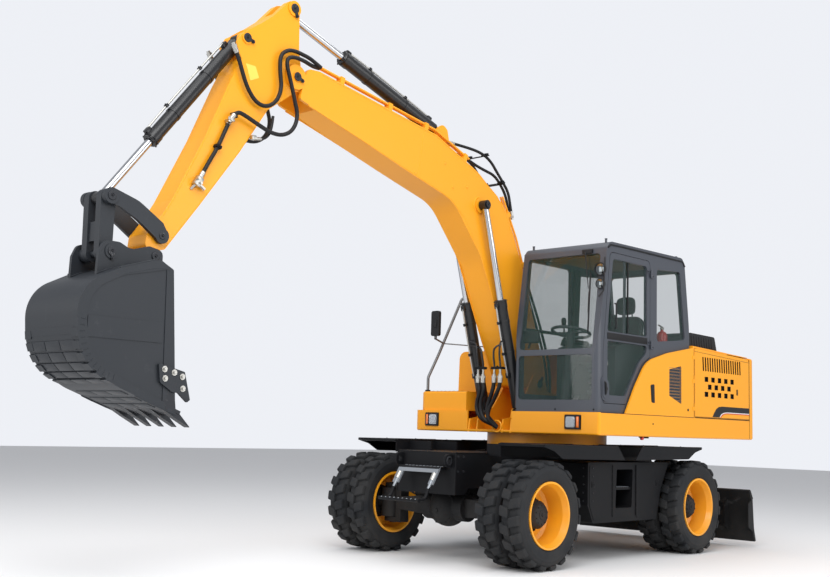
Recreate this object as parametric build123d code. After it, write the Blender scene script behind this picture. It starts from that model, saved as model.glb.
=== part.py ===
from build123d import *
import math
import os

# Wheeled excavator, sizes in mm, +X to the steered axle, +Y to the cab side, +Z up.
# Sizes are counted from the ground under the steered axle's middle.
# The shift then moves everything to the middle of the whole machine.

SHIFT_X = -97.4
SHIFT_Y = 0.0
SHIFT_Z = 0.0

# Wheels and axles
WHEELBASE = 2720.0
TYRE_R = 500.0
CARCASS_R = 468.0
TYRE_W = 240.0
OUTER_TYRE_Y = 1124.0
INNER_TYRE_Y = 842.0
RIM_SEAT_R = 286.0
RIM_FLANGE_R = 308.0
LUGS = 10
KINGPIN_Y = 800.0
AXLE_Z = 500.0
REAR_X = -WHEELBASE
RUN = 0.3
SPINDLE_R = 75.0

# Carrier frame
FRAME_HALF = 380.0
FRAME_TOP = 1040.0
FENDER_TOP = 1142.0
FENDER_IN = 680.0
FENDER_OUT = OUTER_TYRE_Y + 98.0
MID_X = -WHEELBASE / 2
BOX_OUT = OUTER_TYRE_Y - 32.0
SLEW_X = -1600.0
SLEW_R = 650.0

# Upper structure
DECK_Z0 = 1240.0
DECK_Z1 = 1465.0
HALF_W = 1235.0
FRONT_X = -780.0
TAIL_X = -3920.0
TAIL_END_X = -4060.0
HOOD_FRONT_Z = 2250.0
HOOD_REAR_Z = 2205.0
SKIN = 20.0

# Cab
CAB_Y0 = 165.0
CAB_Y1 = HALF_W - 31.0
CAB_MID = (CAB_Y0 + CAB_Y1) / 2
CAB_TOP = 3185.0
CAB_WALL = 40.0
CAB_FLOOR = 1505.0

# Boom, arm, linkage and bucket pins, as (x, z) in the boom's plane
BOOM_Y = -150.0
BOOM_HALF = 160.0
BOOM_FOOT = (-1400.0, 1780.0)
BOOM_NOSE = (2201.0, 4312.0)
BOOM_CYL_FOOT = (-990.0, 1455.0)
BOOM_CYL_EYE = (-355.0, 3580.0)
BOOM_CYL_Y = 230.0
ARM_CYL_FOOT = (180.0, 4275.0)
ARM_CYL_EYE = (2237.0, 4938.0)
BUCKET_CYL_FOOT = (2745.0, 4525.0)
LINK_PIN = (3503.0, 2690.0)
BUCKET_PIN = (3583.0, 2512.0)
TOP_PIN = (3975.0, 2930.0)
ROD_PIN = (3970.0, 2500.0)
ARM_HALF = 125.0
BUCKET_HALF = 377.0

# Blade
BLADE_PIVOT = (REAR_X - 340.0, 560.0)
BLADE_CYL_FOOT = (REAR_X - 540.0, 850.0)
BLADE_CYL_EYE = (REAR_X - 1060.0, 480.0)
BLADE_X = REAR_X - 1230.0
BLADE_HALF = 1230.0
BLADE_CYL_Y = 210.0

# Doors and lids
DOOR_X0 = -2620.0
DOOR_X1 = -3895.0
LID_X0 = -3400.0
HINGE_R = 8.0
CAB_HINGE_R = 12.0
CAB_DOOR_HINGE = (-1750.0, CAB_Y1 + 5.0 + CAB_HINGE_R)

# Helpers


def box(x0, x1, y0, y1, z0, z1):
    return Pos((x0 + x1) / 2, (y0 + y1) / 2, (z0 + z1) / 2) * Box(abs(x1 - x0), abs(y1 - y0), abs(z1 - z0))


def outline(rows):
    # rows: one coordinate, the other, and the corner's radius if it has one
    points = [Vector(row[0], row[1]) for row in rows]
    count = len(rows)
    corners = []
    for i, row in enumerate(rows):
        r = row[2] if len(row) > 2 else 0
        p = points[i]
        if r == 0:
            corners.append((p, p, None))
            continue
        u = (points[i - 1] - p).normalized()
        v = (points[(i + 1) % count] - p).normalized()
        half = math.acos(max(-1.0, min(1.0, u.dot(v)))) / 2
        reach = r / math.tan(half)
        middle = p + (u + v).normalized() * (r / math.sin(half) - r)
        corners.append((p + u * reach, p + v * reach, middle))
    edges = []
    for i, (start, stop, middle) in enumerate(corners):
        if middle is not None:
            edges.append(ThreePointArc(start, middle, stop))
        following = corners[(i + 1) % count][0]
        if (following - stop).length > 0.01:
            edges.append(Line(stop, following))
    return edges


def plate_xz(rows, y0, y1):
    face = make_face([Plane.XZ * edge for edge in outline(rows)])
    return Pos(0, max(y0, y1), 0) * extrude(face, abs(y1 - y0), dir=(0, -1, 0))


def plate_xy(rows, z0, z1):
    face = make_face(outline(rows))
    return Pos(0, 0, z0) * extrude(face, z1 - z0, dir=(0, 0, 1))


def plate_yz(rows, x0, x1):
    face = make_face([Plane.YZ * edge for edge in outline(rows)])
    return Pos(min(x0, x1), 0, 0) * extrude(face, abs(x1 - x0), dir=(1, 0, 0))


def pin_y(p, r, y0, y1):
    return Pos(p[0], (y0 + y1) / 2, p[1]) * Rot(90, 0, 0) * Cylinder(r, abs(y1 - y0))


def between(a, b, r):
    a = Vector(*a)
    b = Vector(*b)
    rod = Cylinder(r, (b - a).length, align=(Align.CENTER, Align.CENTER, Align.MIN))
    return Plane(origin=a, z_dir=b - a) * rod


def tube(points, bend, r):
    path = FilletPolyline(*points, radius=bend)
    start = path @ 0
    section = Plane(origin=start, z_dir=path % 0) * Circle(r)
    return sweep(section, path)


def part_way(p, q, s):
    d = math.dist(p, q)
    return (p[0] + (q[0] - p[0]) * s / d, p[1] + (q[1] - p[1]) * s / d)


def mirror_y(shape):
    return shape.mirror(Plane.XZ)


def group(items):
    return Compound(children=items)


def save(shape, name):
    moved = Pos(SHIFT_X, SHIFT_Y, SHIFT_Z) * shape
    export_step(moved, "parts/" + name + ".step")


os.makedirs("parts", exist_ok=True)

# Tyres: one moulded segment with a slanted lug, turned round for two rows out of step


def tyre():
    w = TYRE_W / 2
    wall_rows = [
        # across, radius
        (w - 40, RIM_SEAT_R + RUN),
        (w, 375),
        (w - 30, CARCASS_R),
        (30 - w, CARCASS_R),
        (-w, 375),
        (40 - w, RIM_SEAT_R + RUN),
    ]
    lug_half = 42.0
    slant = 12.0
    lug_tip = w - 18
    reach = lug_half * math.cos(math.radians(slant)) + lug_tip * math.sin(math.radians(slant))
    crown = math.sqrt(TYRE_R ** 2 - reach ** 2)
    lug_rows = [(6, CARCASS_R - 13), (w - 12, CARCASS_R - 13), (lug_tip, crown), (6, crown)]
    lug = extrude(make_face([Plane.XZ * edge for edge in outline(lug_rows)]), lug_half, both=True)
    half_turn = 90.0 / LUGS
    wide = 600 * math.tan(math.radians(half_turn))
    wedge_rows = [(0, 0), (wide, 600), (-wide, 600)]
    wedge = extrude(make_face([Plane.YZ * edge for edge in outline(wedge_rows)]), w, both=True)
    wall = extrude(make_face([Plane.XZ * edge for edge in outline(wall_rows)]), wide, both=True)
    segment = wall & wedge
    near = segment + Rot(0, 0, slant) * lug
    far = segment + Rot(0, 0, slant + 180) * lug
    start = math.degrees(math.atan2(reach, crown)) + 180
    turned = []
    for i in range(LUGS):
        turned.append(Rot(start + 4 * half_turn * i, 0, 0) * near)
        turned.append(Rot(start + 4 * half_turn * i + 2 * half_turn, 0, 0) * far)
    return Rot(0, 0, 90) * turned[0].fuse(*turned[1:])


# Rims: two dished rims back to back on one hub


def rims():
    w = TYRE_W / 2
    mid = (OUTER_TYRE_Y + INNER_TYRE_Y) / 2
    half = (OUTER_TYRE_Y - INNER_TYRE_Y) / 2
    lip = half + w - 28
    rows = [
        # across from the middle between the twins, radius
        (0, 140),
        (14, 140),
        (14, 225),
        (34, 258),
        (lip - 40, 268),
        (lip + 16, 290),
        (lip + 16, RIM_FLANGE_R),
        (lip, RIM_FLANGE_R),
        (lip, RIM_SEAT_R),
        (half - w + 28, RIM_SEAT_R),
        (half - w + 28, 302),
        (half - w + 14, 302),
        (half - w + 14, 280),
        (0, 276),
    ]
    side = revolve(make_face(outline(rows)), Axis.X)
    hub_rows = [
        (-60, SPINDLE_R + RUN),
        (-60, 130),
        (-20, 165),
        (18, 165),
        (30, 138),
        (112, 128),
        (150, 96, 14),
        (156, 60),
        (156, 0),
        (128, 0),
        (128, SPINDLE_R + RUN),
    ]
    hub = revolve(make_face(outline(hub_rows)), Axis.X)
    whole = side + side.mirror(Plane.YZ) + hub
    return Pos(0, mid, 0) * Rot(0, 0, 90) * whole


one_tyre = tyre()
tyre_pair = group([Pos(0, OUTER_TYRE_Y, 0) * one_tyre, Pos(0, INNER_TYRE_Y, 0) * one_tyre])
rim_pair = rims()
wheel_rows = [
    # name, x, side
    ("front_left", 0.0, 1),
    ("front_right", 0.0, -1),
    ("rear_left", REAR_X, 1),
    ("rear_right", REAR_X, -1),
]
for name, x, side in wheel_rows:
    turn = Pos(x, 0, AXLE_Z) if side > 0 else Pos(x, 0, AXLE_Z) * Rot(0, 0, 180)
    save(turn * tyre_pair, "tyres_" + name)
    save(turn * rim_pair, "rims_" + name)

# Steering knuckles with their spindles
knuckle = Pos(0, KINGPIN_Y, AXLE_Z) * Cylinder(95, 290)
knuckle += pin_y((0, AXLE_Z), SPINDLE_R, KINGPIN_Y, 1100)
knuckle += plate_xy([(-60, 785), (-190, 760, 20), (-190, 718, 20), (-40, 734)], 375, 405)
knuckle -= Pos(0, KINGPIN_Y, AXLE_Z) * Cylinder(30 + RUN, 300)
save(knuckle, "knuckle_left")
save(mirror_y(knuckle), "knuckle_right")

# Axles: a steered one with forks for the knuckles, and a fixed one
beam = [
    # across, up
    (-640, 440),
    (-300, 415, 60),
    (300, 415, 60),
    (640, 440),
    (640, 560),
    (320, 590, 60),
    (-320, 590, 60),
    (-640, 560),
]
front_axle = plate_yz(beam, -65, 65)
front_axle += Pos(0, 0, AXLE_Z) * Sphere(190)
front_axle += pin_y((0, AXLE_Z), 130, -260, 260)
front_axle += between((-60, 0, AXLE_Z), (-330, 0, AXLE_Z + 40), 75)
front_axle += box(-90, 90, -110, 110, 600, 700)
for side in (1, -1):
    y0 = side * KINGPIN_Y
    for z0, z1 in ((305, 350), (650, 695)):
        front_axle += box(-60, 60, side * 600, y0, z0, z1)
        front_axle += Pos(0, y0, (z0 + z1) / 2) * Cylinder(60, z1 - z0)
    front_axle += plate_xz([(-60, 305), (60, 305), (60, 695), (-60, 695)], side * 600, side * 670)
    front_axle += Pos(0, y0, AXLE_Z) * Cylinder(30, 390)
    front_axle += between((-150, side * 120, 430), (-150, side * 560, 430), 28)
    front_axle += box(-170, -40, side * 150, side * 200, 415, 445)
rear_axle = pin_y((REAR_X, AXLE_Z), SPINDLE_R, -1100, 1100)
rear_axle += pin_y((REAR_X, AXLE_Z), 125, -680, 680)
rear_axle += Pos(REAR_X, 0, AXLE_Z) * Sphere(195)
rear_axle += between((REAR_X + 60, 0, AXLE_Z), (REAR_X + 420, 0, AXLE_Z + 60), 80)
for side in (1, -1):
    rear_axle += box(REAR_X - 90, REAR_X + 90, side * 230, side * 330, 560, 700)
    rear_axle += pin_y((REAR_X, AXLE_Z), 190, side * 590, side * 640)
save(group([front_axle, rear_axle]), "axles")

# Carrier frame: a box of plates, the turntable's base, fenders, step and eyes
side_plate = [
    # x, z of the long side plates
    (350, 640),
    (350, FRAME_TOP),
    (REAR_X - 360, FRAME_TOP),
    (REAR_X - 460, 940),
    (REAR_X - 460, 480),
    (REAR_X - 270, 480),
    (REAR_X - 240, 700),
    (REAR_X + 300, 700),
    (REAR_X + 470, 540, 60),
    (-560, 540, 60),
    (-380, 700),
    (160, 700),
    (220, 640),
]
frame = box(REAR_X - 360, 350, -FRAME_HALF, FRAME_HALF, FRAME_TOP - 25, FRAME_TOP)
for side in (1, -1):
    frame += plate_xz(side_plate, side * (FRAME_HALF - 25), side * FRAME_HALF)
cross_rows = [
    # x from, x to, z from, z to
    (REAR_X + 470, -560, 540, 565),
    (325, 350, 640, FRAME_TOP),
    (REAR_X - 460, REAR_X - 435, 705, 940),
    (-120, 120, 700, 730),
    (REAR_X - 180, REAR_X + 180, 700, 725),
    (REAR_X + 270, REAR_X + 295, 700, FRAME_TOP),
    (-560, -535, 560, FRAME_TOP),
]
for x0, x1, z0, z1 in cross_rows:
    frame += box(x0, x1, -FRAME_HALF, FRAME_HALF, z0, z1)
frame += Pos(SLEW_X, 0, 1065) * Cylinder(600, 50)
frame += Pos(SLEW_X, 0, 1120) * (Cylinder(500, 80) - Cylinder(430, 90))
for side in (1, -1):
    deck_rows = [
        (-1130, side * 300),
        (-1000, side * FRAME_HALF),
        (-2200, side * FRAME_HALF),
        (-2070, side * 300),
    ]
    frame += plate_xy(deck_rows, 1000, FRAME_TOP + 20)
    shelf_rows = [(-1060, 985), (-1060, 1050), (-2140, 1050), (-2140, 985)]
    frame += plate_xz(shelf_rows, side * (FRAME_HALF - 10), side * (FRAME_HALF + 180))
fender = [
    # x, z of the steered axle's fender, from its tip round to its inner end
    (90, FENDER_TOP),
    (90, FENDER_TOP - 22),
    (-60, 1085, 120),
    (-200, 1012, 80),
    (MID_X + 98, 1002),
    (MID_X + 228, FENDER_TOP),
]
hollow = [
    (66, FENDER_TOP - 12),
    (66, 900),
    (MID_X + 60, 900),
    (MID_X + 98, 1002),
    (MID_X + 210, FENDER_TOP - 12),
]
for side in (1, -1):
    near, far = sorted((side * FENDER_IN, side * FENDER_OUT))
    inside = sorted((side * (FENDER_IN - 5), side * (FENDER_OUT - 10)))
    wing = plate_xz(fender, near, far) - plate_xz(hollow, *inside)
    wing += box(MID_X + 240, 66, side * FENDER_IN, side * (FENDER_IN + 10), 1015, FENDER_TOP - 6)
    for x in (-120, -520):
        web = box(x - 20, x, side * (FRAME_HALF - 10), side * (FENDER_IN + 5), 1015, FENDER_TOP - 12)
        wing += web
    frame += wing
    frame += Pos(2 * MID_X, 0, 0) * wing.mirror(Plane.YZ)
step_rows = [
    (350, 900),
    (430, 900),
    (455, 880),
    (540, 740),
    (525, 732),
    (440, 865),
    (350, 868),
]
step = plate_xz(step_rows, -262, 262)
step -= box(300, 700, -185, 200, 600, 845)
frame += step
for side in (1, -1):
    y = side * 225
    frame += tube([(500, y, 792), (560, y, 690), (600, y, 600), (720, y, 590)], 60, 16)
frame += between((720, -262, 590), (720, 262, 590), 16)
eye_rows = [
    # x of the bore, x of the plate's root, y, z
    (395, 345, 320, 960),
    (395, 345, -320, 960),
    (REAR_X - 505, REAR_X - 455, 320, 870),
    (REAR_X - 505, REAR_X - 455, -320, 870),
]
for x, root, y, z in eye_rows:
    tip = x + 55 if x > root else x - 55
    frame += plate_xz([(root, z - 60), (tip, z - 60, 50), (tip, z + 60, 50), (root, z + 60)], y - 15, y + 15)
    frame -= pin_y((x, z), 28, y - 20, y + 20)
for side in (1, -1):
    cheek_rows = [(REAR_X - 460, 480), (REAR_X - 270, 480), (REAR_X - 240, 720), (REAR_X - 460, 720)]
    frame += plate_xz(cheek_rows, side * 250, side * 280)
    frame += pin_y(BLADE_PIVOT, 30, side * 255, side * 370)
    for k in (-62, 42):
        y0 = side * BLADE_CYL_Y + k
        lug_rows = [
            (REAR_X - 450, 780),
            (REAR_X - 570, 800, 20),
            (REAR_X - 590, 850),
            (REAR_X - 570, 900, 20),
            (REAR_X - 450, 930),
        ]
        frame += plate_xz(lug_rows, y0, y0 + 20)
    frame += pin_y(BLADE_CYL_FOOT, 26, side * BLADE_CYL_Y - 60, side * BLADE_CYL_Y + 60)
save(frame, "chassis_frame")

# Toolboxes between the wheels, each with a step cut into it
box_profile = [
    (-800, 975, 20),
    (-800, 560),
    (-890, 385, 40),
    (REAR_X + 650, 385, 40),
    (REAR_X + 590, 600),
    (REAR_X + 554, 712),
    (REAR_X + 400, 975, 20),
]
boxes = []
for side in (1, -1):
    body = plate_xz(box_profile, side * FRAME_HALF, side * BOX_OUT)
    recess = [(-1310, 905, 20), (-1290, 520, 20), (-1590, 520, 20), (-1610, 905, 20)]
    body -= plate_xz(recess, side * (BOX_OUT - 192), side * (BOX_OUT + 10))
    body += box(-1292, -1608, side * (BOX_OUT - 195), side * (BOX_OUT - 20), 700, 725)
    for x in (-1660, -1234):
        body -= box(x - 6, x, side * (BOX_OUT - 10), side * (BOX_OUT + 10), 470, 935)
    boxes.append(body)
save(group(boxes), "side_boxes")

# Blade with its arms
blade_profile = [
    # x, z of the blade's section, face side then back
    (BLADE_X + 44, 650),
    (BLADE_X + 20, 664),
    (BLADE_X - 38, 560),
    (BLADE_X - 52, 400),
    (BLADE_X - 68, 220),
    (BLADE_X - 112, 72),
    (BLADE_X - 84, 64),
    (BLADE_X - 32, 190),
    (BLADE_X - 12, 400),
    (BLADE_X, 540),
]
blade_arm = [
    (REAR_X - 310, 505, 30),
    (REAR_X - 280, 560, 30),
    (REAR_X - 310, 625, 30),
    (REAR_X - 430, 640),
    (REAR_X - 880, 560, 100),
    (BLADE_X - 15, 600),
    (BLADE_X - 35, 180),
    (BLADE_X + 90, 200, 60),
    (REAR_X - 880, 420, 100),
    (REAR_X - 430, 470),
]
blade_rib = [
    (BLADE_X + 5, 540),
    (BLADE_X + 70, 500, 30),
    (BLADE_X + 70, 240, 30),
    (BLADE_X - 34, 180),
    (BLADE_X - 12, 400),
]
blade_ear = [
    (BLADE_X - 20, 360),
    (BLADE_X - 16, 600),
    (REAR_X - 1060, 536, 20),
    (REAR_X - 1008, 500, 20),
    (REAR_X - 1008, 450, 20),
    (REAR_X - 1070, 420),
]
blade = plate_xz(blade_profile, -BLADE_HALF, BLADE_HALF)
for side in (1, -1):
    blade += plate_xz(blade_arm, side * 290, side * 340)
    blade -= pin_y(BLADE_PIVOT, 30 + RUN, side * 280, side * 350)
    for y in (600, BLADE_HALF - 310, BLADE_HALF - 14):
        blade += plate_xz(blade_rib, side * y, side * (y + 14))
    for k in (-62, 42):
        y0 = side * BLADE_CYL_Y + k
        blade += plate_xz(blade_ear, y0, y0 + 20)
blade += box(REAR_X - 915, REAR_X - 865, -292, 292, 430, 480)
save(blade, "blade")


def cylinder_tube(foot, eye, gland, bore, r, y, width):
    start = part_way(foot, eye, 62)
    inner = part_way(foot, eye, 105)
    head = part_way(foot, eye, gland - 75)
    end = part_way(foot, eye, gland)
    out = part_way(foot, eye, gland + 10)
    whole = between((start[0], y, start[1]), (end[0], y, end[1]), r)
    whole += between((head[0], y, head[1]), (end[0], y, end[1]), r + 5)
    whole += pin_y(foot, 52, y - width / 2, y + width / 2)
    whole += between((foot[0], y, foot[1]), (inner[0], y, inner[1]), width / 2 - 2)
    whole -= between((inner[0], y, inner[1]), (out[0], y, out[1]), bore)
    whole -= pin_y(foot, 26 + RUN, y - 200, y + 200)
    return whole


def cylinder_rod(foot, eye, inside, bore, r, y, width):
    start = part_way(foot, eye, inside)
    stop = part_way(foot, eye, inside + 60)
    rod = between((start[0], y, start[1]), (eye[0], y, eye[1]), r)
    rod += between((start[0], y, start[1]), (stop[0], y, stop[1]), bore - RUN)
    rod += pin_y(eye, 50, y - width / 2, y + width / 2)
    return rod


tubes = []
rods = []
for side in (1, -1):
    tubes.append(cylinder_tube(BLADE_CYL_FOOT, BLADE_CYL_EYE, 385, 36, 46, side * BLADE_CYL_Y, 76))
    rods.append(cylinder_rod(BLADE_CYL_FOOT, BLADE_CYL_EYE, 250, 36, 26, side * BLADE_CYL_Y, 70))
save(group(tubes), "blade_cylinder_tubes")
save(group(rods), "blade_cylinder_rods")

# Upper frame: floor, skirts round the edge, plates for the boom and its cylinders
plan = [
    (FRONT_X, -HALF_W, 90),
    (TAIL_X, -HALF_W),
    (TAIL_X, HALF_W),
    (FRONT_X, HALF_W, 30),
]
inner_plan = [
    (FRONT_X - SKIN, -HALF_W + SKIN, 70),
    (TAIL_X - 1, -HALF_W + SKIN),
    (TAIL_X - 1, HALF_W - SKIN),
    (FRONT_X - SKIN, HALF_W - SKIN, 10),
]
upper = plate_xy(plan, DECK_Z0, DECK_Z1) - plate_xy(inner_plan, DECK_Z0 + 30, DECK_Z1 + 1)
rim = upper.edges().filter_by(GeomType.LINE).filter_by(Axis.X)
rim = rim.filter_by_position(Axis.Z, DECK_Z0 - 1, DECK_Z0 + 1)
upper = fillet(rim, 18)
upper -= box(-1000, 0, BOOM_Y - 300, BOOM_Y + 300, DECK_Z0 + 30, 2000)
main_lug = [
    (FRONT_X - 2, DECK_Z0),
    (-800, 1380),
    (-930, 1400),
    (-945, 1480, 15),
    (-970, 1503, 15),
    (-1040, 1503),
    (-1090, 1560),
    (-1200, 1700),
    (-1310, 1880, 60),
    (-1490, 1880, 60),
    (-1560, 1700),
    (-2500, 1540),
    (-2500, DECK_Z0),
]
front_lug = [
    (FRONT_X, DECK_Z0),
    (-800, 1380),
    (-930, 1400),
    (-945, 1480, 15),
    (-970, 1503, 15),
    (-1010, 1503, 15),
    (-1100, 1400),
    (-1200, 1300),
    (-1200, DECK_Z0),
]
for side in (1, -1):
    y0 = BOOM_Y + side * 164
    upper += plate_xz(main_lug, y0, y0 + side * 16)
    y1 = BOOM_Y + side * 275
    upper += plate_xz(front_lug, y1, y1 + side * 20)
    upper += pin_y(BOOM_CYL_FOOT, 26, BOOM_Y + side * 170, BOOM_Y + side * 290)
upper += pin_y(BOOM_FOOT, 37, BOOM_Y - 196, BOOM_Y + 196)
upper -= Pos(FRONT_X, -40, 1305) * Rot(0, 90, 0) * Cylinder(46, 60)
for y in (HALF_W - 315, 275 - HALF_W):
    upper -= box(FRONT_X - 15, FRONT_X + 5, y - 100, y + 100, 1290, 1440)
upper += Pos(SLEW_X, 0, (1095 + DECK_Z0) / 2) * (Cylinder(SLEW_R, DECK_Z0 - 1095) - Cylinder(500 + RUN, 400))
save(upper, "upper_frame")

# Engine and pumps, one block
save(box(-2760, -3700, -520, 520, DECK_Z0 + 30, 2000), "engine")

# Counterweight, rounded at its corners
cw_plan = [
    (TAIL_X, HALF_W),
    (TAIL_END_X + 10, HALF_W, 90),
    (TAIL_END_X - 60, 600, 900),
    (TAIL_END_X - 60, -600, 900),
    (TAIL_END_X + 10, -HALF_W, 90),
    (TAIL_X, -HALF_W),
]
counterweight = plate_xy(cw_plan, DECK_Z0, 2196)
low = counterweight.faces().sort_by(Axis.Z)[0]
counterweight = fillet(low.edges().sort_by(Axis.X)[:-1], 25)
top = counterweight.faces().sort_by(Axis.Z)[-1]
counterweight = fillet(top.edges().sort_by(Axis.X)[:-1], 25)
save(counterweight, "counterweight")


def hood_z(x):
    s = (DOOR_X0 - x) / (DOOR_X0 - TAIL_X)
    return HOOD_FRONT_Z + (HOOD_REAR_Z - HOOD_FRONT_Z) * s


# Fixed body panels beside and behind the cab
arch = [
    # x, z of the arch that the door's foot follows, and its bend
    (-1245, DECK_Z1),
    (-1420, 1740, 400),
    (-1640, 2020, 420),
    (-2060, 2130, 600),
    (-2600, 2225),
]
panels = plate_xz(arch + [(DOOR_X0, 2228), (DOOR_X0, DECK_Z1)], HALF_W - SKIN, HALF_W)
vent_rows = [(-2090, 1960, 10), (-2340, 2010, 10), (-2340, 1600, 10), (-2090, 1680, 10)]
panels -= plate_xz(vent_rows, HALF_W - SKIN - 5, HALF_W + 5)
louvre = []
for i in range(11):
    z = 1625 + i * 34
    louvre.append(box(-2345, -2085, HALF_W - SKIN + 2, HALF_W - SKIN + 12, z, z + 14))
panels += louvre
back = [
    (DOOR_X0, hood_z(DOOR_X0)),
    (LID_X0, hood_z(LID_X0)),
    (LID_X0, hood_z(LID_X0) - 20),
    (DOOR_X0, hood_z(DOOR_X0) - 20),
]
panels += plate_xz(back, SKIN - HALF_W, HALF_W - SKIN)
bulkhead = [(DOOR_X0, DECK_Z1), (DOOR_X0, 2246), (DOOR_X0 + 25, 2246), (DOOR_X0 + 25, DECK_Z1)]
panels += plate_xz(bulkhead, 2 - HALF_W, HALF_W - 2)
right_panel = [(-2250, DECK_Z1), (-2250, 2165, 20), (DOOR_X0, 2228), (DOOR_X0, DECK_Z1)]
panels += plate_xz(right_panel, -HALF_W, SKIN - HALF_W)
right_top = [(-2250, 2165), (DOOR_X0, 2228), (DOOR_X0, 2208), (-2250, 2145)]
panels += plate_xz(right_top, 2 - HALF_W, -490)
for side in (1, -1):
    panels += box(TAIL_X, TAIL_X + 20, side * (HALF_W - 60), side * (HALF_W - 22), DECK_Z1, 2180)
panels += box(TAIL_X, TAIL_X + 20, 22 - HALF_W, HALF_W - 22, 2150, 2190)
door_hinge_x = DOOR_X0 - 3
door_hinge_y = HALF_W + 1
hinge_rows = [1560, 1860, 2120]
for side in (1, -1):
    for z in hinge_rows:
        panels += Pos(door_hinge_x, side * door_hinge_y, z) * Cylinder(HINGE_R, 40)
        panels += Pos(door_hinge_x, side * door_hinge_y, z + 40) * Cylinder(4, 50)
        near_y, far_y = side * (HALF_W - 30), side * (HALF_W + 20)
        knuckle_x = door_hinge_x + 40
        panels += box(door_hinge_x, knuckle_x, side * (HALF_W - 2), side * (HALF_W + 4), z - 20, z + 20)
        panels -= box(door_hinge_x - 14, door_hinge_x + 14, near_y, far_y, z + 20.5, z + 64)
        panels += Pos(door_hinge_x, side * door_hinge_y, z + 40) * Cylinder(4, 50)
lid_hinge_x = LID_X0 - 3
lid_hinge_z = hood_z(LID_X0) + 2
for side in (1, -1):
    y = side * (HALF_W - 300)
    panels += pin_y((lid_hinge_x, lid_hinge_z), HINGE_R, y - 30, y + 30)
    panels += pin_y((lid_hinge_x, lid_hinge_z), 4, y, y - side * 70)
    panels += box(lid_hinge_x, lid_hinge_x + 40, y - 30, y + 30, lid_hinge_z - 6, lid_hinge_z + 4)
    z0, z1 = lid_hinge_z - 30, lid_hinge_z + 10
    panels -= box(lid_hinge_x - 1, lid_hinge_x + 14, y - side * 33, y - side * 71, z0, z1)
    panels += pin_y((lid_hinge_x, lid_hinge_z), 4, y, y - side * 70)
save(panels, "body_panels")

# Engine doors with a band of slats and a field of square holes
hole_rows = [
    # z of the row, holes in it, x of the first
    (1895, 5, -2850),
    (1812, 4, -2925),
    (1729, 5, -2850),
]
for name, side in (("engine_door_left", 1), ("engine_door_right", -1)):
    rows = [
        (DOOR_X0 - 6, DECK_Z1 + 6, 8),
        (DOOR_X0 - 6, hood_z(DOOR_X0) - 26, 30),
        (DOOR_X1 - 17, hood_z(DOOR_X1) - 26, 60),
        (DOOR_X1 - 17, DECK_Z1 + 6, 8),
    ]
    door = plate_xz(rows, side * (HALF_W - SKIN), side * HALF_W)
    for i in range(17):
        x = -2810 - i * 54
        slot = [(x, 1985), (x + 12, 2140), (x - 16, 2140), (x - 28, 1985)]
        door -= plate_xz(slot, side * (HALF_W - SKIN - 5), side * (HALF_W + 5))
    for z, count, start in hole_rows:
        for i in range(count):
            x = start - i * 150
            door -= box(x - 80, x, side * (HALF_W - SKIN - 5), side * (HALF_W + 5), z - 28, z + 28)
    for z in hinge_rows:
        near_y, far_y = side * (HALF_W - 30), side * (HALF_W + 20)
        door -= box(door_hinge_x - 14, door_hinge_x + 14, near_y, far_y, z - 24, z + 20.5)
        door += Pos(door_hinge_x, side * door_hinge_y, z + 42) * Cylinder(HINGE_R, 38)
        door += box(door_hinge_x - 40, door_hinge_x, side * (HALF_W - 2), side * (HALF_W + 4), z + 23, z + 61)
        door -= Pos(door_hinge_x, side * door_hinge_y, z + 42) * Cylinder(4 + RUN, 60)
    save(door, name)
lid_rows = [
    (LID_X0 - 6, hood_z(LID_X0)),
    (TAIL_X + 4, hood_z(TAIL_X)),
    (TAIL_X + 4, hood_z(TAIL_X) - 8),
    (LID_X0 - 6, hood_z(LID_X0) - 12),
]
lid = plate_xz(lid_rows, 26 - HALF_W, HALF_W - 26)
for side in (1, -1):
    y = side * (HALF_W - 300)
    lid -= box(lid_hinge_x - 14, lid_hinge_x + 14, y - 34, y + 31, lid_hinge_z - 30, lid_hinge_z + 20)
    inner = sorted((y - side * 34, y - side * 68))
    lid += pin_y((lid_hinge_x, lid_hinge_z), HINGE_R, *inner)
    lid += box(lid_hinge_x - 40, lid_hinge_x, *inner, lid_hinge_z - 6, lid_hinge_z + 4)
    lid -= pin_y((lid_hinge_x, lid_hinge_z), 4 + RUN, y - 80, y + 80)
save(lid, "hood_lid")

# Intake box on the hood behind the cab
intake_rows = [(-2700, hood_z(-2700)), (-2715, 2410, 30), (-3290, 2400, 40), (-3350, hood_z(-3350))]
intake = plate_xz(intake_rows, HALF_W - 735, HALF_W - 115)
save(intake, "intake_box")

# Deck boxes on the right, a step box and a tank, with the rail over them
step_plan = [(-800, 55 - HALF_W, 110), (-1500, 30 - HALF_W), (-1500, -490), (-800, -490)]
step_box = plate_xy(step_plan, DECK_Z1, 1672)
step_box = fillet(step_box.faces().sort_by(Axis.Z)[-1].edges().sort_by(Axis.X)[-2:], 20)
tank_rows = [(20 - HALF_W, DECK_Z1), (35 - HALF_W, 2165, 90), (-490, 2165, 40), (-490, DECK_Z1)]
tank = plate_yz(tank_rows, -2250, -1500)
tank += Pos(-1800, 255 - HALF_W, 2165) * Cylinder(60, 70)
save(step_box + tank, "deck_boxes")
RAIL_Y = 135.0 - HALF_W
rail = [
    (-850, RAIL_Y, 1672),
    (-850, RAIL_Y, 1830),
    (-1010, RAIL_Y, 2090),
    (-1400, RAIL_Y, 2780),
    (-1750, RAIL_Y, 2830),
    (-1880, RAIL_Y, 2600),
    (-1880, RAIL_Y, 2165),
]
handrail = tube(rail, 60, 16)
handrail += between((-1100, RAIL_Y, 2230), (-905, RAIL_Y + 40, 2270), 10)
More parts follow.
